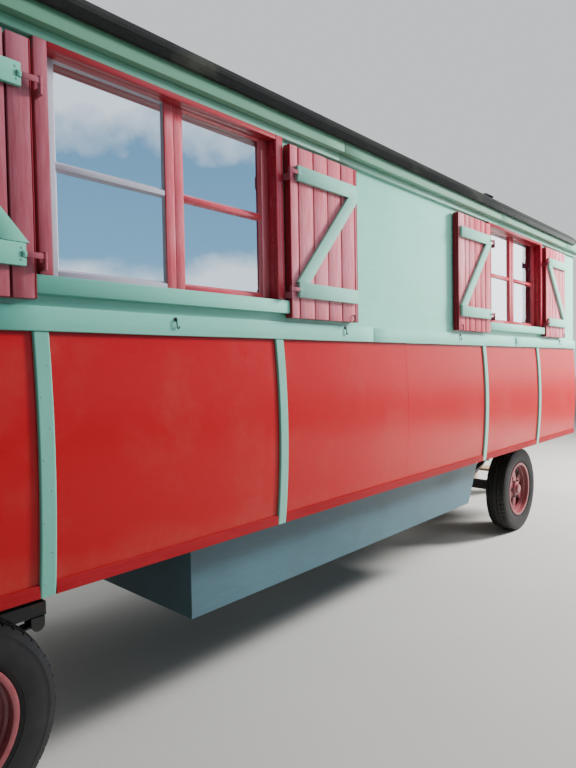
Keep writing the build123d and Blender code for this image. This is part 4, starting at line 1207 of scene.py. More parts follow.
@dataclass
class Shutter:
    """One ledged and braced shutter of two layers of boards, with its nails, straps and hook. Its body has
    its node's name, `sign` is 1 if it opens towards the rear, and its first board starts at `hinge_x`."""

    name: str
    side: int
    sign: int
    hinge_x: float
    wall_y: float
    z: tuple[float, float]
    rng: np.random.Generator
    width: float = 0.575
    off_wall: float = 0.006
    board: float = 0.044
    board_radius: float = 0.0032
    board_bend: float = 0.0003
    layer_gap: float = 0.0008
    uneven: float = 0.0014
    ragged: float = 0.003
    axis_out: float = 0.068
    axis_back: float = 0.022
    ledge: float = 0.020
    ledge_width: float = 0.078
    ledge_radius: float = 0.004
    ledge_bend: float = 0.0005
    ledge_insets: tuple[float, float] = (0.144, 0.141)
    ledge_ends: tuple[float, float] = (0.040, 0.022)
    brace: float = 0.072
    strap: tuple[float, float, float] = (0.078, 0.020, 0.004)
    strap_radius: float = 0.0015
    strap_nail: tuple[float, float] = (0.070, 0.005)
    knuckle: tuple[float, float] = (0.008, 0.015)
    gap: float = 0.0085
    edge_strip: float = 0.0036
    edge_inset: float = 0.0005
    edge_gap: float = 0.0012
    nail_radius: float = 0.0045
    nail_rows: tuple[float, float] = (-0.02, 0.02)
    nail_range: tuple[float, float] = (0.055, 0.04)
    nail_drift: float = 0.006
    hook_from_edge: float = 0.05
    hook_shape: Profile = ((0.001, 0.040), (0.011, 0.036), (0.011, 0.006), (0.001, 0.004))
    hook_wire: float = 0.0038
    seen_widths: tuple[float, ...] = (0.065, 0.120, 0.120, 0.120, 0.126, 0.024)
    near_widths: tuple[float, ...] = (0.085, 0.135, 0.110, 0.125, 0.120)

    def __post_init__(self) -> None:
        """Draws the widths of the boards, from the hinges to the free edge, and finds faces and heights."""
        drawn = self.rng.uniform(0.065, 0.115, 6)
        if self.name == "left_front_window_rear_shutter":
            drawn = np.array(self.seen_widths)
        elif self.name == "left_front_window_front_shutter":
            drawn = np.array(self.near_widths)
        self.widths = drawn * self.width / drawn.sum()
        self.face = self.wall_y + self.off_wall + self.board
        self.ledge_face = self.face + self.ledge
        self.levels = (self.z[0] + self.ledge_insets[0], self.z[1] - self.ledge_insets[1])

    def along(self, *places: float) -> list[float]:
        """Places at these distances from the hinge side, the lowest first."""
        return sorted(self.hinge_x + self.sign * place for place in places)

    def boards(self) -> Shell:
        """Two layers of ragged boards.

        Returns:
            Their shell.
        """
        shell = Shell()
        middle = self.off_wall + self.board / 2
        for layer, inner, outer, uneven in (
            (self.widths[::-1], self.off_wall, middle - self.layer_gap, 0.0),
            (self.widths, middle + self.layer_gap, self.off_wall + self.board, self.uneven),
        ):
            for end, width in zip(np.cumsum(layer), layer):
                x = self.along(end - (width - self.gap / 2), end - self.gap / 2)
                sunk = self.rng.uniform(0, 1) * uneven
                y = across(self.side, self.wall_y + inner, self.wall_y + outer - sunk)
                ragged = self.rng.uniform(0, self.ragged, 2)
                board(shell, (x[0], y[0], self.z[0] + ragged[0]), (x[1], y[1], self.z[1] - ragged[1]),
                      self.board_radius, self.board_bend, int(self.rng.integers(1000)))
        return shell

    def edges(self) -> Shell:
        """Strips over both layers at both upright edges, dark as painted shade on the boards' sides.

        Returns:
            Their shell.
        """
        shell = Shell()
        middle, gap = self.off_wall + self.board / 2, self.edge_gap
        for start in (self.edge_inset, self.width - self.edge_strip - self.edge_inset):
            x = self.along(start, start + self.edge_strip)
            for inner, outer in ((self.off_wall, middle - gap), (middle + gap, self.off_wall + self.board)):
                y = across(self.side, self.wall_y + inner, self.wall_y + outer)
                board(shell, (x[0], y[0], self.z[0] + 0.001), (x[1], y[1], self.z[1] - 0.001), 0.001)
        return shell

    def add_ledges(self, ledges: Shell, nails: Shell) -> None:
        """Both ledges, with two rows of nails that go into each board.

        Args:
            ledges: Takes the ledges.
            nails: Takes the nails.
        """
        x = self.along(self.ledge_ends[0], self.width - self.ledge_ends[1])
        y = across(self.side, self.face, self.ledge_face)
        starts = np.concatenate([[0], np.cumsum(self.widths)[:-1]])
        half = self.ledge_width / 2
        for level in self.levels:
            board(ledges, (x[0], y[0], level - half), (x[1], y[1], level + half), self.ledge_radius,
                  self.ledge_bend, int(self.rng.integers(1000)))
            for start, width in zip(starts, self.widths):
                place = np.clip(start + width / 2, self.nail_range[0], self.width - self.nail_range[1])
                for shift in self.nail_rows:
                    at_x = self.hinge_x + self.sign * place
                    at_x += self.rng.uniform(-self.nail_drift, self.nail_drift)
                    at = (at_x, self.side * (self.ledge_face - 0.0004), level + shift)
                    nail(nails, at, (0, self.side, 0), self.nail_radius)

    def add_brace(self, shell: Shell) -> None:
        """The slanting brace: rounded rectangles in level rings, whose middle moves evenly along with height.
        It rises away from the hinges at the front windows, and towards them at the rear ones.

        Args:
            shell: Takes the brace.
        """
        x = self.along(self.ledge_ends[0], self.width - self.ledge_ends[1])
        lean = self.sign if "front_window" in self.name else -self.sign
        low, high = self.levels[0] + self.ledge_width / 2, self.levels[1] - self.ledge_width / 2
        run = x[1] - x[0] - self.brace
        slant = math.hypot(run, high - low) / (high - low) * self.brace / 2
        t = np.linspace(0, 1, 9)
        section = rounded_section(slant, self.ledge / 2, self.ledge_radius)
        points = np.zeros((len(t), len(section), 3))
        points[..., 0] = (x[0] + x[1]) / 2 + lean * run * (t[:, None] - 0.5) + section[None, ::-1, 0]
        points[..., 1] = self.side * (self.face + self.ledge / 2) + section[None, ::-1, 1]
        points[..., 2] = (low + (high - low) * t)[:, None]
        shell.grid(points, close_v=True, caps=True)

    def add_straps(self, irons: Shell, ledges: Shell) -> None:
        """The straps with their knuckles; their ends over the ledges are painted as these.

        Args:
            irons: Takes the knuckles and what lies next to them.
            ledges: Takes the painted ends and their nails.
        """
        reach, height, thick = self.strap
        nail_at, nail_radius = self.strap_nail
        axis_x = self.hinge_x - self.sign * self.axis_back
        cut = self.hinge_x + self.sign * self.ledge_ends[0]
        y = across(self.side, self.ledge_face, self.ledge_face + thick)
        for level in self.levels:
            z = (level - height / 2, level + height / 2)
            for shell, ends in ((irons, (axis_x, cut)), (ledges, (cut, axis_x + self.sign * reach))):
                board(shell, (min(ends), y[0], z[0]), (max(ends), y[1], z[1]), self.strap_radius)
            radius, half = self.knuckle
            lathe(irons, (axis_x, self.side * (self.wall_y + self.axis_out), level), (0, 0, 1),
                  ((-half, radius), (half, radius)), 16)
            at = (axis_x + self.sign * nail_at, self.side * (self.ledge_face + thick), level)
            nail(ledges, at, (0, self.side, 0), nail_radius)

    def hook(self) -> Shell:
        """The hook at the foot of the free edge.

        Returns:
            Its shell.
        """
        shell = Shell()
        x = self.hinge_x + self.sign * (self.width - self.hook_from_edge)
        path = [(x, self.side * (self.face + out), self.z[0] + up) for out, up in self.hook_shape]
        tube(shell, bend_path(path), self.hook_wire)
        return shell

    def build(self, shop: Workshop) -> None:
        """Makes the shutter; its irregularities are drawn from the hinges to the free edge.

        Args:
            shop: Takes the pieces.
        """
        ledges, nails, irons = Shell(), Shell(), Shell()
        boards, edges = self.boards(), self.edges()
        self.add_ledges(ledges, nails)
        self.add_brace(ledges)
        self.add_straps(irons, ledges)
        # Lit and shaded copies of the shutter paint: the front windows' front shutters take a darker one as
        # painted shade, the rear windows' shutters a paler, more worn one as painted light.
        shade = "shutter_painted_shade" if "front_window_front" in self.name else "shutter_paint"
        shade = "shutter_worn_and_painted_light" if "rear_window" in self.name else shade
        for part, shell, slot, finish in (
            ("boards", boards, "shutter_paint", shade),
            # The edge strips are painted shade on the shutters' sides.
            ("edges", edges, "shutter_paint", "shutter_edge_painted_shade"),
            ("ledges", ledges, "mint_paint", "ledge_paint"),
            ("nails", nails, "mint_paint", "ledge_paint"),
            # The irons take the darker copy of the shutter paint, painted shade.
            ("irons", irons, "red_trim", "shutter_painted_shade"),
            ("hook", self.hook(), "black_iron", None),
        ):
            replaces = [self.name] if part == "boards" else []
            shop.add(f"{self.name}_{part}", shell, slot, self.name, replaces, finish)


@dataclass
class Shutters:
    """The eight shutters, two at each window of both sides."""

    first_seed: int = 40

    def build(self, shop: Workshop) -> None:
        """Makes each shutter.

        Args:
            shop: Takes the pieces.
        """
        wall_y = -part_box("left_upper_wall")[0].y
        names = [name for name in frame["nodes"] if name.endswith("_shutter")]
        for seed, name in enumerate(sorted(names), self.first_seed):
            low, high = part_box(name)
            sign = 1 if name.endswith("_rear_shutter") else -1
            free = high.x if sign > 0 else low.x
            side = -1 if name.startswith("left") else 1
            Shutter(name, side, sign, free - sign * Shutter.width, wall_y, (low.z, high.z),
                    np.random.default_rng(seed)).build(shop)


BODY_OF = {node: body for body, nodes in frame["record"]["behaviour"]["bodies"].items() for node in nodes}


@dataclass
class Eased:
    """A CAD node kept in its shape, with its hard edges eased by a small bevel."""

    node: str
    slot: str
    width: float = 0.0015
    finish: str | None = None

    def build(self, shop: Workshop) -> None:
        """Merges a copy of the node's triangles, joins the flat ones and bevels every sharp edge.

        Args:
            shop: Takes the piece.
        """
        shape = bmesh.new()
        shape.from_mesh(frame["nodes"][self.node].data)
        bmesh.ops.remove_doubles(shape, verts=shape.verts, dist=1e-5)
        bmesh.ops.dissolve_limit(shape, angle_limit=math.radians(0.8), verts=shape.verts, edges=shape.edges)
        mesh = bpy.data.meshes.new(f"{self.node}_eased")
        shape.to_mesh(mesh)
        shape.free()
        mesh.polygons.foreach_set("use_smooth", np.ones(len(mesh.polygons), dtype=bool))
        mesh.set_sharp_from_angle(angle=EASED_ANGLE)
        mesh.materials.clear()
        piece = shop.place(mesh.name, mesh, self.slot, BODY_OF[self.node], [self.node], self.finish)
        bevel = piece.modifiers.new("edges", "BEVEL")
        bevel.width, bevel.segments, bevel.limit_method = self.width, 2, "ANGLE"
        bevel.angle_limit, bevel.use_clamp_overlap = EASED_ANGLE, True
        bevel.harden_normals = True


@dataclass
class WallHooks:
    """Small iron hooks on the belt boards that hold the shutters, one under each window and each shutter."""

    drop: float = 0.034
    wire: float = 0.0026
    from_edge: float = 0.085
    from_middle: float = 0.05
    under_belt_top: tuple[float, float] = (0.012, 0.020)
    plate: Profile = ((-0.002, 0.009), (0.002, 0.009), (0.003, 0.007))

    def build(self, shop: Workshop) -> None:
        """Makes the hooks on both sides.

        Args:
            shop: Takes the piece.
        """
        shell = Shell()
        belt_low, belt_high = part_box("belt_board")
        for side in (-1, 1):
            prefix = "left" if side < 0 else "right"
            names = [name for name in frame["nodes"] if name.startswith(prefix) and "_shutter" in name]
            boxes = {name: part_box(name) for name in names}
            for name, (low, high) in boxes.items():
                free = high.x - self.from_edge if name.endswith("rear_shutter") else low.x + self.from_edge
                self.hook(shell, side, free, -belt_low.y, belt_high.z - self.under_belt_top[0])
            for window in ("front", "rear"):
                near = boxes[f"{prefix}_{window}_window_front_shutter"][1].x
                far = boxes[f"{prefix}_{window}_window_rear_shutter"][0].x
                self.hook(shell, side, (near + far) / 2 - self.from_middle, -belt_low.y,
                          belt_high.z - self.under_belt_top[1])
        shop.add("shutter_hooks", shell, "black_iron")

    def hook(self, shell: Shell, side: int, x: float, out: float, z: float) -> None:
        """One hook: a screw plate, and a wire that hangs from its eye and turns up at the end.

        Args:
            shell: The shell that takes it.
            side: -1 on the left, 1 on the right.
            x: Its place along the wagon.
            out: Distance of the board's face from the middle plane.
            z: Height of its eye.
        """
        lathe(shell, (x, side * out, z), (0, side, 0), self.plate, 16)
        y = side * (out + 0.007)
        foot = z - self.drop
        path = ((x, side * (out - 0.002), z), (x, y, z), (x + 0.002, y, foot), (x + 0.010, y, foot - 0.006),
                (x + 0.015, y, foot + 0.006))
        tube(shell, bend_path(path, 6, 0.35), self.wire, 8)


@dataclass
class Wheels:
    """Four wheels: a ribbed tyre, a channelled rim, a disc with six openings, a drum and a capped hub."""

    tread_radius: float = 0.4025
    side_profile: Profile = (
        (0.0620, 0.2410), (0.0700, 0.2425), (0.0745, 0.2500), (0.0790, 0.2600), (0.0850, 0.2720),
        (0.0865, 0.2745), (0.0885, 0.2750), (0.0915, 0.2860), (0.0950, 0.3020), (0.0970, 0.3200),
        (0.0972, 0.3340), (0.0955, 0.3500), (0.0935, 0.3620), (0.0945, 0.3650), (0.0935, 0.3685),
        (0.0900, 0.3790), (0.0862, 0.3870),
    )
    rib_edges: tuple[float, ...] = (-0.084, -0.059, -0.051, -0.024, -0.016, 0.016, 0.024, 0.051, 0.059, 0.084)
    rib_bite: tuple[float, ...] = (1.0, 0.55, 0.0, 0.55, 1.0)
    crown: float = 0.0095
    groove_depth: float = 0.0085
    groove_slope: float = 0.0012
    pitches: int = 54
    pitch_steps: Profile = ((0.0, 0.0), (0.42, 0.0), (0.84, 0.0), (0.87, 1.0), (0.97, 1.0))
    skew: float = 0.35
    half_width: float = 0.0975
    spokes: int = 6
    spoke_ends: tuple[float, float] = (0.086, 0.212)
    spoke_even: tuple[float, float] = (0.115, 0.185)
    spoke_half: tuple[float, float] = (0.0345, 0.096)
    spoke_half_at: float = 0.095
    spoke_crown: float = 0.0045
    flare: tuple[float, float] = (0.018, 0.016)
    disc: tuple[float, float] = (0.020, 0.036)
    disc_rise: float = 0.008
    disc_face_back: float = 0.004
    rise_start: float = 0.085
    rise_run: float = 0.11
    rim_lip: Profile = (
        (0.0800, 0.2440), (0.0800, 0.2510), (0.0812, 0.2545), (0.0840, 0.2560), (0.0868, 0.2545),
        (0.0880, 0.2510), (0.0880, 0.2380), (0.0868, 0.2330), (0.0820, 0.2302), (0.0600, 0.2300),
    )
    rim_well: Profile = ((0.0500, 0.2290), (0.0420, 0.2180), (-0.0100, 0.2140))
    rim_seat: Profile = ((-0.0760, 0.2405), (0.0760, 0.2405))
    hub: Profile = (
        (-0.080, 0.040), (-0.080, 0.062), (-0.074, 0.068), (0.050, 0.068), (0.058, 0.0655), (0.062, 0.0600),
        (0.062, 0.0480), (0.064, 0.0470), (0.078, 0.0430), (0.0828, 0.0390), (0.0840, 0.0330),
        (0.0840, 0.0005),
    )
    drum: Profile = (
        (-0.074, 0.066), (-0.074, 0.160), (-0.070, 0.166), (-0.058, 0.166), (-0.056, 0.162), (-0.004, 0.162),
        (0.004, 0.156), (0.010, 0.140), (0.010, 0.066),
    )
    nut: Profile = ((-0.004, 0.0125), (0.0, 0.0125), (0.001, 0.0105), (0.011, 0.0105), (0.0125, 0.0095))
    stud: Profile = ((0.0, 0.0058), (0.019, 0.0058), (0.0205, 0.0045))
    nut_place: tuple[float, float] = (0.083, 0.0425)

    def tyre(self, shell: Shell, centre: Array) -> None:
        """A tyre: its section goes round, and its tread is sunk by the groove depth where either a groove
        round the tyre or a cut across a rib runs. The crown falls off with the square of the place across.

        Args:
            shell: The shell that takes it.
            centre: The wheel's middle.
        """
        tread, sunk, bite = [], [], []
        for index in range(len(self.rib_edges) // 2):
            low, high = self.rib_edges[2 * index], self.rib_edges[2 * index + 1]
            places = np.linspace(low, high, 4)
            tread += list(places)
            sunk += [0.0] * 4
            bite += [self.rib_bite[index]] * 4
            if index < len(self.rib_edges) // 2 - 1:
                next_low = self.rib_edges[2 * index + 2]
                tread += [high + self.groove_slope, next_low - self.groove_slope]
                sunk += [1.0, 1.0]
                bite += [0.0, 0.0]
        tread, sunk, bite = np.array(tread), np.array(sunk), np.array(bite)
        crown = self.tread_radius - self.crown * (tread / tread.max()) ** 2
        beads = np.array(self.side_profile)
        y = np.concatenate([-beads[:, 0], tread, beads[::-1, 0]])
        r = np.concatenate([beads[:, 1], crown, beads[::-1, 1]])
        sunk = np.concatenate([np.zeros(len(beads)), sunk, np.zeros(len(beads))])
        bite = np.concatenate([np.zeros(len(beads)), bite, np.zeros(len(beads))])
        step, cut = np.array(self.pitch_steps).T
        turn = ((np.arange(self.pitches)[:, None] + step) / self.pitches).reshape(-1) * 2 * np.pi
        cuts = np.tile(cut, self.pitches)
        skew = self.skew * np.abs(y) / self.half_width * 2 * np.pi / self.pitches
        depth = self.groove_depth * np.maximum(sunk[:, None], bite[:, None] * cuts[None])
        radius = r[:, None] - depth
        angle = turn[None] + skew[:, None]
        points = np.stack([radius * np.cos(angle), np.broadcast_to(y[:, None], radius.shape),
                           -radius * np.sin(angle)], axis=-1)
        shell.grid(points + centre, close_u=True, close_v=True)

    def disc_profile(self, radius: Array) -> Array:
        """How far the disc's outer face stands out: flat at the rim, raised towards the hub by a cosine.

        Args:
            radius: Distances from the axle.

        Returns:
            Distances outwards.
        """
        t = np.clip((np.asarray(radius) - self.rise_start) / self.rise_run, 0, 1)
        return self.disc[1] + self.disc_rise * (0.5 + 0.5 * np.cos(np.pi * t)) - self.disc_face_back

    def spoke(self, shell: Shell, centre: Array, side: int, angle: float) -> None:
        """One spoke: crowned rings from the hub plate to the rim. Its half width grows evenly along it and
        flares by a quarter circle at both ends.

        Args:
            shell: The shell that takes it.
            centre: The wheel's middle.
            side: -1 on the left, 1 on the right.
            angle: Its direction.
        """
        (start, end), (length, width) = self.spoke_ends, self.flare
        turn = length * (1 - np.cos(np.linspace(0, np.pi / 2, 6)))
        along = np.concatenate([start + turn, np.linspace(*self.spoke_even, 5), end - turn[::-1]])
        base = self.spoke_half[0] + (along - self.spoke_half_at) * self.spoke_half[1]
        near = np.clip((start + length - along) / length, 0, 1)
        far = np.clip((along - (end - length)) / length, 0, 1)
        half = base + width * (1 - np.sqrt(1 - near**2)) + width * (1 - np.sqrt(1 - far**2))
        s = np.linspace(-1, 1, 11)
        crown = self.spoke_crown * (1 - np.abs(s) ** 3)[None] - self.spoke_crown
        front = self.disc_profile(along)[:, None] + crown
        edge = np.where(np.abs(s) > 0.99, 0.003, 0.0)
        front = front - edge[None]
        back = np.full_like(front, self.disc[0])
        w = half[:, None] * s[None]
        ring_w = np.concatenate([w, w[:, ::-1]], axis=1)
        ring_n = np.concatenate([front, back[:, ::-1]], axis=1)
        out = np.array([np.cos(angle), 0.0, np.sin(angle)])
        aside = np.array([-np.sin(angle), 0.0, np.cos(angle)])
        axle = np.array([0.0, float(side), 0.0])
        points = along[:, None, None] * out + ring_w[..., None] * aside + ring_n[..., None] * axle
        shell.grid(centre + (points if side < 0 else points[:, ::-1]), close_v=True, caps=True)

    def disc_wheel(self, shell: Shell, centre: Array, side: int) -> None:
        """The channelled rim, the ring inside it, the hub plate, the spokes and the capped hub.

        Args:
            shell: The shell that takes it.
            centre: The wheel's middle.
            side: -1 on the left, 1 on the right.
        """
        axis, lip = (0, side, 0), self.rim_lip
        outline = [(-a, r) for a, r in reversed(lip[:6])] + [*self.rim_seat, *lip, *self.rim_well]
        outline += [(-a, r) for a, r in reversed(lip[6:])]
        back, front = self.disc[0], self.disc[1] - self.disc_face_back
        ring = ((back, 0.2290), (front, 0.2290), (front + 0.001, 0.2045), (front, 0.203), (back, 0.203))
        plate = ((back, 0.060), (back, 0.0985), (front + 0.006, 0.0985), (front + 0.008, 0.0965),
                 (front + 0.0105, 0.0800), (front + 0.0105, 0.060))
        for profile in (outline, ring, plate):
            lathe(shell, centre, axis, profile, 96, closed=True)
        for index in range(self.spokes):
            self.spoke(shell, centre, side, (index + 0.5) * 2 * np.pi / self.spokes)
        lathe(shell, centre, axis, self.hub, 64)

    def corner(self, shop: Workshop, name: str, side: int) -> None:
        """One wheel with its tyre, drum and nuts.

        Args:
            shop: Takes the pieces.
            name: The corner, such as front_left.
            side: -1 on the left, 1 on the right.
        """
        low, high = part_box(f"{name}_tyre")
        centre = (np.array(low) + np.array(high)) / 2
        axis = (0, side, 0)
        rubber, disc, drum, iron = Shell(), Shell(), Shell(), Shell()
        self.tyre(rubber, centre)
        self.disc_wheel(disc, centre, side)
        lathe(drum, centre, axis, self.drum, 72, closed=True)
        reach, out = self.nut_place
        for angle in np.arange(self.spokes) * 2 * np.pi / self.spokes:
            at = centre + reach * np.array([np.cos(angle), 0, np.sin(angle)]) + np.array([0, side * out, 0])
            lathe(iron, at, axis, self.nut, 6)
            lathe(iron, at, axis, self.stud, 12)
        tyre, wheel = f"{name}_tyre", f"{name}_wheel"
        shop.add(f"{name}_tyre_tread", rubber, "tyre", BODY_OF[tyre], [tyre])
        shop.add(f"{name}_wheel_disc", disc, "wheel_paint", BODY_OF[wheel], [wheel])
        shop.add(f"{name}_brake_drum", drum, "wheel_paint", BODY_OF[wheel], finish="hub_paint")
        shop.add(f"{name}_wheel_nuts", iron, "black_iron", BODY_OF[wheel])

    def build(self, shop: Workshop) -> None:
        """Makes the four corners.

        Args:
            shop: Takes the pieces.
        """
        for name in ("front_left", "front_right", "rear_left", "rear_right"):
            self.corner(shop, name, -1 if name.endswith("left") else 1)


@dataclass
class Roof:
    """The felted roof: a barrel that falls in long arcs to both ends, with a sloping rim, round corners, felt
    laps, a drip board along each side and a boarded ceiling."""

    lip: float = 0.014
    rise: float = 0.300
    edge_rise: float = 0.035
    rim_slope: float = 1 / math.tan(math.radians(40))
    corner: float = 0.280
    end_run: float = 1.900
    end_lift: float = 0.008
    thickness: float = 0.045
    drip: float = 0.039
    drip_thickness: float = 0.020
    skin: tuple[float, float] = (0.0012, 0.0016)
    skin_back: tuple[float, float] = (0.012, 0.010)
    boards_top: tuple[float, float] = (0.0135, 0.0112)
    soften: float = 0.060
    rim_soften: float = 0.03
    row_count: int = 34
    row_bunching: float = 1.8
    corner_steps: int = 12
    edge_step: float = 0.06
    nail_pitch: float = 0.075
    nail_height: float = 0.018
    nail_inset: float = 0.03
    nail_size: tuple[float, float] = (0.0042, 0.0011)
    lap_pitch: float = 0.98
    lap_width: float = 0.09
    lap_thickness: float = 0.004
    lap_inset: float = 0.005
    rim_insets: tuple[float, ...] = (0.004, 0.012, 0.022, 0.034, 0.048, 0.066, 0.086)
    soften_run: float = 0.9

    def __post_init__(self) -> None:
        """Takes the roof's size from its node, and lays out the outline and the rows from edge to ridge."""
        low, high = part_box("roof")
        self.middle = (np.array(low) + np.array(high)) / 2
        self.half_x, self.half_y = (high.x - low.x) / 2, (high.y - low.y) / 2
        self.foot, self.eaves = low.z, low.z + self.drip
        floor_low, floor_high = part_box("floor")
        self.inner_x, self.inner_y = (floor_high.x - floor_low.x) / 2, (floor_high.y - floor_low.y) / 2
        corners = rounded_section(self.half_x, self.half_y, self.corner, self.corner_steps)
        self.outline = fill_loop(corners, self.edge_step)
        self.rows = np.linspace(0, 1, self.row_count) ** self.row_bunching

    def arc(self, run: Array, reach: float, crown: float) -> Array:
        """Fall of an arc that drops by `crown` over `reach`: r - sqrt(r^2 - run^2), where r is
        (reach^2 + crown^2) / (2 crown).

        Args:
            run: Distances from the arc's top.
            reach: Where it has dropped by the crown.
            crown: The drop.

        Returns:
            The drop at each distance.
        """
        radius = (reach**2 + crown**2) / (2 * crown)
        return radius - np.sqrt(radius**2 - run**2)

    def ease(self, first: Array, second: Array, k: Array | float) -> Array:
        """The lower of two heights, eased where they meet: min - h^2 k / 4 with h = 1 - |difference| / k.

        Args:
            first: Heights.
            second: Heights.
            k: How wide the easing is.

        Returns:
            The eased heights.
        """
        h = np.clip(1 - np.abs(first - second) / k, 0, 1)
        return np.minimum(first, second) - h**2 * k / 4

    def height(self, x: Array, y: Array) -> Array:
        """Height over the lip: the least of the barrel across, the long arc to each end, and the rim, which
        rises evenly with the distance from the rounded outline.

        Args:
            x: Places along, from the middle.
            y: Places across.

        Returns:
            The heights.
        """
        crown = self.rise - self.edge_rise
        barrel = self.rise - self.arc(y, self.half_y, crown)
        run = np.maximum(np.abs(x) - (self.half_x - self.end_run), 0)
        fall = self.rise + self.end_lift - self.arc(run, self.end_run, crown + self.end_lift)
        out_x = np.abs(x) - (self.half_x - self.corner)
        out_y = np.abs(y) - (self.half_y - self.corner)
        beyond = np.hypot(np.maximum(out_x, 0), np.maximum(out_y, 0))
        inset = self.corner - beyond - np.minimum(np.maximum(out_x, out_y), 0)
        top = self.ease(barrel, fall, self.soften * np.clip(run / self.soften_run, 0.02, 1))
        return self.ease(top, np.maximum(inset, 0) * self.rim_slope, self.rim_soften)

    def ring(self, loop: Array, row: float) -> Array:
        """The outline drawn in by a share of the way to the ridge line: loop + row (core - loop), where each
        point's core is the nearest point of the middle line between the two end slopes.

        Args:
            loop: The loop to draw in.
            row: The share, 0 at the loop and 1 at the ridge.

        Returns:
            Pairs of x and y.
        """
        reach = self.half_x - self.half_y
        core = np.stack([np.clip(loop[:, 0], -reach, reach), np.zeros(len(loop))], axis=-1)
        return loop + row * (core - loop)

    def lay(self, pairs: Array, z: Array | float) -> Array:
        """Points of the roof at places and heights.

        Args:
            pairs: Places along and across, from the middle.
            z: Heights over the lip.

        Returns:
            The points.
        """
        level = np.broadcast_to(np.asarray(z, float), pairs.shape[:-1])
        x, y = pairs[..., 0] + self.middle[0], pairs[..., 1]
        return np.stack([x, y, self.eaves + self.lip + level], axis=-1)

    def inset_loop(self, inset: float) -> Array:
        """The outline, drawn in by a distance on each side."""
        return self.outline * (1 - inset / np.array([self.half_x, self.half_y]))

    def surface(self, inset: float, sink: float) -> Array:
        """Rings over the roof, drawn in by an inset and sunk by a depth, from the edge to the ridge.

        Args:
            inset: Distance from the outline.
            sink: Depth under the surface.

        Returns:
            The grid, row by place by 3.
        """
        pairs = np.stack([self.ring(self.inset_loop(inset), row) for row in self.rows])
        return self.lay(pairs, self.height(pairs[..., 0], pairs[..., 1]) - sink)

    def build(self, shop: Workshop) -> None:
        """Makes the felt skin, the ceiling, the drip boards, the laps and the nails.

        Args:
            shop: Takes the pieces.
        """
        felt, drips, boards = Shell(), Shell(), Shell()
        outer, inner = self.surface(*self.skin), self.surface(*self.skin_back)
        flat, level = [1, 1, 0], [0, 0, self.eaves]
        edges = [outer[0] * flat + level, inner[0] * flat + level]
        felt.grid(np.concatenate([outer[::-1], edges, inner]), close_v=True)
        for axis in (0, 1):
            for side in (-1, 1):
                self.drip_board(drips, axis, side)
        # The skin's felt has lighter grit than the drip boards' felt, as a painted reflection of the sky.
        merge(shop.add("roof_skin", felt, "roof_felt", replaces=["roof"]))
        shop.add("roof_drip_boards", drips, "roof_felt", finish="felt_edge")
        top = self.surface(*self.boards_top)
        lining = np.clip(self.outline, [-self.inner_x, -self.inner_y], [self.inner_x, self.inner_y])
        rows = np.stack([self.ring(lining, row) for row in self.rows])
        under = np.maximum(self.height(rows[..., 0], rows[..., 1]) - self.thickness, 0.02)
        low = self.lay(rows, under)
        rim = [top[0] * flat + level, low[0] * flat + level]
        boards.grid(np.concatenate([top[::-1], rim, low]), close_v=True)
        merge(shop.add("roof_ceiling", boards, "timber"))
        self.laps(shop)

    def drip_board(self, shell: Shell, axis: int, side: int) -> None:
        """The felted board that hangs under the lip along one straight side.

        Args:
            shell: The shell that takes it.
            axis: 0 for a long side, 1 for an end.
            side: -1 or 1.
        """
        halves = np.array([self.half_x, self.half_y])
        low, high = np.zeros(3), np.zeros(3)
        low[axis], high[axis] = self.corner - halves[axis], halves[axis] - self.corner
        reach = halves[1 - axis]
        low[1 - axis], high[1 - axis] = across(side, reach - self.skin[0], reach - self.drip_thickness)
        low[2], high[2] = self.foot, self.eaves + 0.001
        shift = np.array([self.middle[0], 0, 0])
        board(shell, low + shift, high + shift)

    def laps(self, shop: Workshop) -> None:
        """The felt's edge strip round the rim, its laps across the roof, and the nails of the drip boards.

        Args:
            shop: Takes the pieces.
        """
        laps, nails = Shell(), Shell()
        loops = np.stack([self.inset_loop(inset) for inset in self.rim_insets])
        z = self.height(loops[..., 0], loops[..., 1])
        over, below = self.lay(loops, z), self.lay(loops, z - self.lap_thickness)
        laps.grid(np.concatenate([over[::-1], below]), close_u=True, close_v=True)
        edge = np.linspace(0.88, 1, 12)
        y = np.concatenate([-edge[::-1], np.linspace(-0.86, 0.86, 44), edge]) * (self.half_y - self.lap_inset)
        for place in np.arange(-3, 4) * self.lap_pitch:
            gx, gy = np.meshgrid(place + np.linspace(0, self.lap_width, 3), y, indexing="ij")
            z = self.height(gx, gy)
            pairs = np.stack([gx, gy], axis=-1)
            over, below = self.lay(pairs, z), self.lay(pairs, z - self.lap_thickness)
            laps.grid(over)
            laps.grid(below[:, ::-1])
            laps.grid(np.stack([border(over), border(below)]), close_v=True)
        merge(shop.add("roof_laps", laps, "roof_felt", finish="felt_band"))
        reach, z = self.half_x - self.corner - self.nail_inset, self.foot + self.nail_height
        for side in (-1, 1):
            for place in np.arange(-reach, reach, self.nail_pitch):
                at = (self.middle[0] + place, side * (self.half_y - self.skin[0]), z)
                nail(nails, at, (0, side, 0), *self.nail_size)
        shop.add("roof_nails", nails, "black_iron", finish="galvanised")


def fill_loop(corners: Array, step: float) -> Array:
    """A closed loop with its long runs cut into equal parts no longer than a step.

    Args:
        corners: The loop's points.
        step: The longest part.

    Returns:
        The finer loop.
    """
    parts = []
    for here, there in zip(corners, np.roll(corners, -1, axis=0)):
        count = max(1, math.ceil(float(np.linalg.norm(there - here)) / step))
        parts.append(here + (there - here) * (np.arange(count) / count)[:, None])
    return np.concatenate(parts)


def border(grid: Array) -> Array:
    """The outer loop of a grid, once round."""
    return np.concatenate([grid[:-1, 0], grid[-1, :-1], grid[:0:-1, -1], grid[0, :0:-1]])


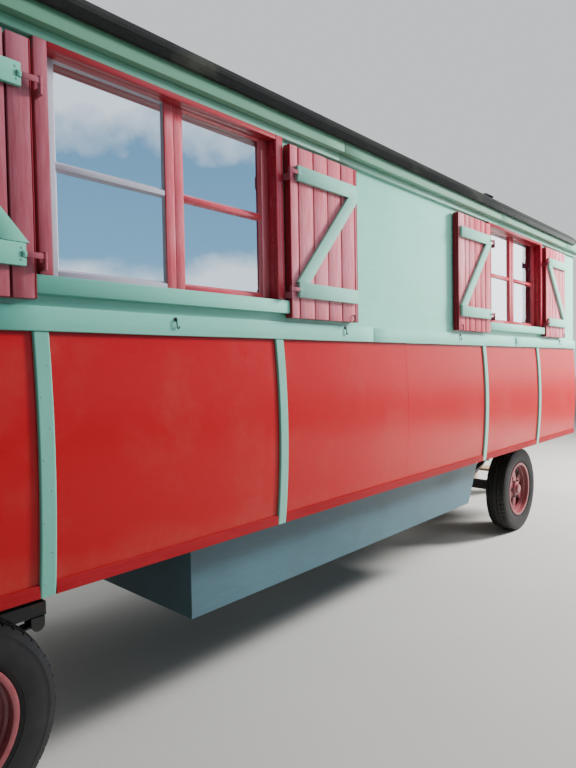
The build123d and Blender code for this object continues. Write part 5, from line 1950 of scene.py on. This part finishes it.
def merge(piece: bpy.types.Object) -> None:
    """Joins points at the same place in a piece's mesh and turns all its faces outwards."""
    shape = bmesh.new()
    shape.from_mesh(piece.data)
    bmesh.ops.remove_doubles(shape, verts=shape.verts, dist=1e-5)
    bmesh.ops.recalc_face_normals(shape, faces=shape.faces)
    shape.to_mesh(piece.data)
    shape.free()


@dataclass
class DoorTrim:
    """Mouldings round the door's lower panel, a weather board at its foot and a rail under its glass."""

    margin: float = 0.085
    width: float = 0.026
    proud: float = 0.007
    radius: float = 0.003
    under_glass: float = 0.11
    weather_foot: float = 0.010
    weather_height: float = 0.055
    weather_out: float = 0.012
    weather_inset: float = 0.065
    weather_radius: float = 0.005

    def build(self, shop: Workshop) -> None:
        """Makes the strips on the outer face.

        Args:
            shop: Takes the piece.
        """
        low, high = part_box("door_leaf")
        left, right = low.y + self.margin, high.y - self.margin
        foot = low.z + self.weather_height + self.margin
        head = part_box("door_glass")[0].z - self.under_glass
        middle, half = (foot + head) / 2, self.width / 2
        sill = low.z + self.weather_foot
        plain = (self.proud, self.radius)
        strips = [((left, right), (z - half, z + half), *plain) for z in (foot, middle, head)]
        for y in (left, right - self.width):
            for start, end in ((foot, middle), (middle, head)):
                strips.append(((y, y + self.width), (start + half, end - half), *plain))
        strips.append(((low.y + self.weather_inset, high.y - self.weather_inset),
                       (sill, sill + self.weather_height), self.weather_out, self.weather_radius))
        shell = Shell()
        for y, z, out, radius in strips:
            board(shell, (high.x - 0.001, y[0], z[0]), (high.x + out, y[1], z[1]), radius)
        shop.add("door_mouldings", shell, "door_paint", "door")


@dataclass
class Curtain:
    """A gathered cotton curtain on its rod: waves across that grow from the heading down."""

    waves: float = 8.5
    depth: float = 0.0125
    edge: float = 0.004
    columns: int = 170
    rows: int = 60

    def build(self, shop: Workshop) -> None:
        """Makes the curtain as an unthickened sheet with a wave of `depth` sin(2 pi n u) across its width,
        whose phase drifts slowly with height; its flat width is the mean length of its rows.

        Args:
            shop: Takes the piece.
        """
        low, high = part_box("curtain")
        u, v = np.linspace(0, 1, self.columns)[None], np.linspace(0, 1, self.rows)[:, None]
        drift = 0.12 * np.sin(2.1 * v + 0.7) + 0.06 * np.sin(9 * u + 4 * v)
        wave = np.sin(2 * np.pi * (self.waves * u + drift))
        share = 0.75 + 0.25 * v
        x = low.x + self.edge + (high.x - low.x - 2 * self.edge) * u
        y = (low.y + high.y) / 2 + self.depth * share * wave
        z = high.z - (high.z - low.z) * v
        points = np.stack(np.broadcast_arrays(x, y, z), axis=-1)
        shell = Shell()
        shell.grid(points[:, ::-1])
        piece = shop.add("window_curtain", shell, "curtain_cloth", replaces=["curtain"])


@dataclass
class Studio:
    """A pale floor, soft lights, a pale sky and the camera."""

    eye: Point = (-2.9185, -3.169, 1.651)
    yaw: float = math.radians(42.399)
    pitch: float = math.radians(1.831)
    roll: float = math.radians(-0.967)
    lens: float = 27.19
    floor_reach: float = 60.0
    # Squared distances over which the floor is painted paler, as painted light.
    painted_far_light: tuple[float, float] = (120.0, 1200.0)
    sky_strength: float = 0.42
    haze: tuple[Rgb, Rgb] = ((0.80, 0.82, 0.84), (0.62, 0.70, 0.80))
    blue: tuple[Rgb, Rgb] = ((0.78, 1.58, 2.20), (0.34, 0.72, 1.36))
    cloud: Rgb = (3.00, 3.20, 3.50)
    glow: Rgb = (7.0, 7.1, 7.2)
    dull: Rgb = (0.12, 0.15, 0.14)
    ground: Rgb = (0.22, 0.23, 0.20)
    backdrop: Rgb = (1.9, 1.95, 2.0)
    lights: tuple[tuple[str, Point, Point, float, float, Rgb], ...] = (
        ("key", (8.6, -4.6, 5.4), (2.0, -1.1, 1.8), 1.8, 3700.0, (1.0, 0.98, 0.95)),
        ("side", (2.5, -5.2, 8.0), (1.2, -1.0, 1.6), 3.0, 300.0, (0.97, 0.99, 1.0)),
        ("fill", (-6.0, -8.0, 6.0), (-1.0, -1.0, 1.5), 6.0, 110.0, (0.94, 0.97, 1.0)),
        ("back", (3.0, 9.5, 6.0), (0.5, 0.0, 1.6), 6.0, 1300.0, (1.0, 0.98, 0.95)),
        ("front", (-9.5, 4.5, 5.0), (-2.5, 0.2, 1.6), 5.0, 700.0, (0.97, 0.99, 1.0)),
    )

    def camera(self) -> None:
        """Sets the camera at the photograph's place, with its turn built up from yaw, pitch and roll."""
        cy, sy, cp, sp = math.cos(self.yaw), math.sin(self.yaw), math.cos(self.pitch), math.sin(self.pitch)
        ahead = np.array([cy * cp, sy * cp, -sp])
        right = np.array([sy, -cy, 0.0])
        up = np.cross(right, ahead)
        turned = math.cos(self.roll) * right + math.sin(self.roll) * up
        upright = -math.sin(self.roll) * right + math.cos(self.roll) * up
        data = bpy.data.cameras.new("camera")
        data.lens, data.sensor_width, data.clip_end = self.lens, 36.0, 400.0
        pose = np.eye(4)
        pose[:3] = np.stack((turned, upright, -ahead, self.eye), axis=1)
        made = put("camera", data)
        made.matrix_world = Matrix(pose.tolist())
        bpy.context.scene.camera = made

    def light(self, name: str, place: Point, aim: Point, size: float, power: float, tone: Rgb) -> None:
        """One square area light.

        Args:
            name: Its name.
            place: Where it hangs.
            aim: The point that it faces.
            size: Its side.
            power: Its watts.
            tone: Its colour.
        """
        data = bpy.data.lights.new(name, "AREA")
        data.size, data.energy, data.color = size, power, tone
        made = put(name, data)
        made.location = place
        made.rotation_euler = (Vector(aim) - Vector(place)).to_track_quat("-Z", "Y").to_euler()
        made.visible_glossy = False

    def floor(self) -> None:
        """A wide floor of pale plaster that grows paler with the square of the distance."""
        shell = Shell()
        ends = (-self.floor_reach, self.floor_reach)
        shell.grid(np.array([[[x, y, 0] for y in ends] for x in ends], float))
        piece = put("studio_floor", shell.mesh("studio_floor"))
        coat = Coat("studio floor")
        tone = coat.mix(coat.noise(0.8, 5.0), (0.33, 0.325, 0.31), (0.38, 0.375, 0.36))
        east, north = coat.axis("X"), coat.axis("Y")
        # Painted light: the floor grows paler far off, where the lamps' light falls away.
        tone = coat.mix((east * east + north * north).band(*self.painted_far_light), tone, (0.90, 0.90, 0.89))
        piece.data.materials.append(coat.finish(tone, 0.8, coat.noise(30.0, 3.0), 0.0008))

    def sky(self) -> None:
        """A soft world: pale all round, with blue and white clouds on the side that the windows reflect."""
        world = bpy.data.worlds.new("studio sky")
        world.use_nodes = True
        coat = Sky(world.node_tree)
        ahead, east, height = coat.axis("X"), coat.axis("Y"), coat.axis("Z")
        pale = coat.mix(height.band(-0.05, 0.5), *self.haze)
        likely = height.band(0.29, 0.40) * 0.34 + height.band(0.20, 0.12) * 0.42
        clouds = (coat.noise(6.5, 8.0, None, 0.58) * 0.7 + likely).band(0.46, 0.66)
        blue = coat.mix(height.band(0.05, 0.6), *self.blue)
        bright = coat.mix(clouds, blue, self.cloud)
        bright = coat.mix(ahead.band(0.78, 0.90) * height.band(0.5, 0.3), bright, self.glow)
        side = coat.mix(ahead.band(0.05, 0.38), self.dull, bright)
        upper = coat.mix(east.band(-0.15, -0.32), pale, side)
        colour = coat.mix(height.band(-0.04, 0.02), self.ground, upper)
        direct = coat.node("ShaderNodeLightPath").outputs["Is Camera Ray"]
        colour = coat.mix(direct, colour, self.backdrop)
        back = world.node_tree.nodes["Background"]
        coat.feed(back.inputs["Color"], colour)
        back.inputs["Strength"].default_value = self.sky_strength
        bpy.context.scene.world = world

    def build(self) -> None:
        """Sets up camera, sky, floor and lights."""
        self.camera()
        self.sky()
        self.floor()
        for light in self.lights:
            self.light(*light)


# The darker colours given for the front end are painted shade.
FINISHES = (
    Paint("mint_paint", (0.20, 0.54, 0.43), (0.28, 0.62, 0.52), (0.42, 0.40, 0.34), Grain.ALONG_X, 0.34,
          0.15, 0.6, dirt=(0.20, 0.25, 0.20), painted_front_shade=(0.06, 0.30, 0.24)),
    # Darker copy of the mint paint for the fascia: painted shade.
    Paint("fascia_painted_shade", (0.13, 0.29, 0.20), (0.19, 0.36, 0.28), (0.30, 0.30, 0.24), Grain.ALONG_X, 0.36,
          0.15, 0.6, dirt=(0.12, 0.17, 0.12), painted_front_shade=(0.06, 0.19, 0.11)),
    # Lighter copy of the mint paint for the frieze: painted light where it catches the light.
    Paint("frieze_painted_light", (0.25, 0.50, 0.40), (0.32, 0.56, 0.47), (0.42, 0.40, 0.34), Grain.ALONG_X, 0.34,
          0.15, 0.6, dirt=(0.20, 0.25, 0.20), painted_front_shade=(0.07, 0.27, 0.19)),
    Paint("ledge_paint", (0.22, 0.50, 0.40), (0.32, 0.58, 0.50), (0.30, 0.23, 0.17), Grain.ALONG_X, 0.42,
          0.1, 0.7, 0.25, painted_front_shade=(0.04, 0.24, 0.17)),
    Paint("pale_paint", (0.27, 0.27, 0.33), (0.37, 0.36, 0.42), (0.36, 0.26, 0.24), Grain.ALONG_X, 0.4, 0.1),
    Paint("batten_paint", (0.17, 0.42, 0.34), (0.24, 0.48, 0.40), (0.34, 0.30, 0.24), Grain.ALONG_Z, 0.4,
          0.1, 0.6, 0.15, painted_front_shade=(0.06, 0.26, 0.20)),
    Paint("red_panel", (0.36, 0.003, 0.008), (0.42, 0.010, 0.014), (0.30, 0.20, 0.15), Grain.EVEN, 0.30, 0.1,
          0.5, swell=0.004, dirt_low=0.86, dirt_high=1.15, dirt=(0.30, 0.14, 0.10),
          painted_front_shade=(0.27, 0.001, 0.005), sheen=0.18),
    Paint("rail_paint", (0.20, 0.004, 0.008), (0.28, 0.014, 0.020), (0.30, 0.18, 0.14), Grain.ALONG_X, 0.5,
          0.0, 0.6, 0.15, sheen=0.15),
    Paint("red_trim", (0.33, 0.013, 0.030), (0.41, 0.05, 0.075), (0.33, 0.16, 0.12), Grain.ALONG_Z, 0.26,
          0.4),
    Paint("sash_paint", (0.44, 0.040, 0.060), (0.56, 0.17, 0.21), (0.33, 0.16, 0.12), Grain.ALONG_Z, 0.22,
          0.6, 0.8, brush=0.0003),
    Paint("sash_rail", (0.44, 0.030, 0.050), (0.54, 0.12, 0.16), (0.33, 0.16, 0.12), Grain.ALONG_X, 0.26,
          0.3, 0.25, brush=0.0001),
    Paint("red_rail", (0.26, 0.008, 0.018), (0.32, 0.022, 0.036), (0.33, 0.16, 0.12), Grain.ALONG_X, 0.30,
          0.2, 0.2, brush=0.0001),
    Paint("shutter_paint", (0.42, 0.040, 0.065), (0.58, 0.21, 0.26), (0.26, 0.05, 0.05), Grain.ALONG_Z, 0.5,
          0.05, 0.9, 0.25, brush=0.0014),
    # Darker copy of the shutter paint: painted shade.
    Paint("shutter_painted_shade", (0.20, 0.022, 0.038), (0.28, 0.08, 0.11), (0.20, 0.04, 0.04), Grain.ALONG_Z, 0.5,
          0.05, 0.9, 0.25, brush=0.0014),
    # Painted shade on the shutters' upright edges.
    Paint("shutter_edge_painted_shade", (0.23, 0.012, 0.022), (0.29, 0.03, 0.045), (0.16, 0.04, 0.04), Grain.ALONG_Z, 0.5,
          0.0, 0.5, 0.1, sheen=0.2),
    # Paler copy of the shutter paint: wear and painted light.
    Paint("shutter_worn_and_painted_light", (0.50, 0.070, 0.100), (0.70, 0.38, 0.43), (0.28, 0.06, 0.06), Grain.ALONG_Z, 0.5,
          0.05, 0.9, 0.3, brush=0.0014),
    Paint("box_paint", (0.034, 0.084, 0.108), (0.055, 0.12, 0.148), (0.12, 0.10, 0.08), Grain.ALONG_X, 0.45,
          0.1, 0.7, 0.1, dirt_share=0.5),
    Paint("wheel_paint", (0.15, 0.022, 0.030), (0.21, 0.06, 0.065), (0.10, 0.04, 0.03), Grain.EVEN, 0.4, 0.2,
          0.8, 0.3),
    Paint("hub_paint", (0.06, 0.010, 0.012), (0.10, 0.03, 0.03), (0.08, 0.04, 0.03), Grain.EVEN, 0.55, 0.1),
    Paint("door_paint", (0.33, 0.012, 0.024), (0.44, 0.04, 0.06), (0.33, 0.20, 0.15), Grain.ALONG_Z, 0.26,
          0.4),
    Timber("timber", (0.36, 0.25, 0.15), (0.19, 0.12, 0.07), Grain.ALONG_Y),
    Timber("step_timber", (0.34, 0.24, 0.15), (0.18, 0.12, 0.07), Grain.ALONG_Y, 0.5),
    Iron("black_iron", (0.018, 0.018, 0.020), 0.3),
    # Felt of the roof's top, with lighter grit as a painted reflection of the sky.
    Felt("roof_felt", (0.010, 0.010, 0.010), (0.055, 0.058, 0.054)),
    # Felt of the drip boards, darker than the top's, and painted paler to the rear more strongly as painted
    # light.
    Felt("felt_edge", (0.004, 0.004, 0.004), (0.024, 0.026, 0.023), 0.65),
    Felt("felt_band", (0.012, 0.012, 0.012), (0.065, 0.068, 0.063)),
    Rubber("tyre", (0.010, 0.010, 0.011), (0.05, 0.046, 0.040)),
    Glass("glass"),
    Metal("brass", (0.60, 0.42, 0.16), (0.22, 0.14, 0.06), 0.28),
    Metal("galvanised", (0.06, 0.06, 0.062), (0.04, 0.04, 0.04), 0.55),
    Cloth("curtain_cloth", (0.22, 0.20, 0.42), (0.13, 0.12, 0.30)),
)


# Where the lengths of the belt boards and of the fascia boards butt, along x.
BELT_JOINTS = (-2.16, 0.058, 2.295)
FASCIA_JOINTS = (-2.45, -0.268, 1.915, 3.6)

# Slot, bevel width and nodes of what keeps its CAD shape.
EASED = (
    ("red_panel", 0.002, "front_lower_wall", "rear_lower_wall"),
    ("mint_paint", 0.002, "left_upper_wall", "right_upper_wall", "front_upper_wall", "rear_upper_wall"),
    ("rail_paint", 0.002, "bottom_rails"),
    ("timber", 0.002, "floor"),
    ("box_paint", 0.002, "belly_box"),
    ("black_iron", 0.0015, "chassis_frame"),
    ("black_iron", 0.003, "front_axle", "rear_axle"),
    ("black_iron", 0.001, "front_springs", "rear_springs"),
    ("black_iron", 0.002, "turntable_ring", "fore_ring", "fore_frame"),
    ("black_iron", 0.003, "drawbar"),
    ("black_iron", 0.0015, "roof_vent"),
    ("mint_paint", 0.002, "door_frame"),
    ("door_paint", 0.002, "door_leaf"),
    ("step_timber", 0.004, "entrance_steps"),
    ("brass", 0.002, "door_handle"),
    ("brass", 0.001, "curtain_rod"),
)


def main() -> None:
    """Builds the studio, the finishes and every sub-assembly in order."""
    logging.basicConfig(level=logging.INFO, format="%(message)s", force=True)
    Studio().build()
    shop = Workshop({finish.name: finish.make() for finish in FINISHES})
    for part in (
        LowerSides(), Windows(), Shutters(), WallHooks(), Roof(), Wheels(), Curtain(), DoorTrim(),
        Boards("belt_board", "mint_paint", 0.004, 0.0008, BELT_JOINTS),
        Fascia("fascia", "mint_paint", 0.004, 0.0006, FASCIA_JOINTS),
        Boards("window_sills", "mint_paint", 0.006), Boards("cross_bearers", "timber", 0.002),
    ):
        part.build(shop)
    for slot, width, *nodes in EASED:
        for node in nodes:
            Eased(node, slot, width).build(shop)
    # The hinge blocks take the darker copy of the shutter paint, painted shade.
    Eased("shutter_hinges", "black_iron", 0.001, "shutter_painted_shade").build(shop)
    shop.paint_node("door_glass", "glass")


if __name__ == "__main__":
    main()
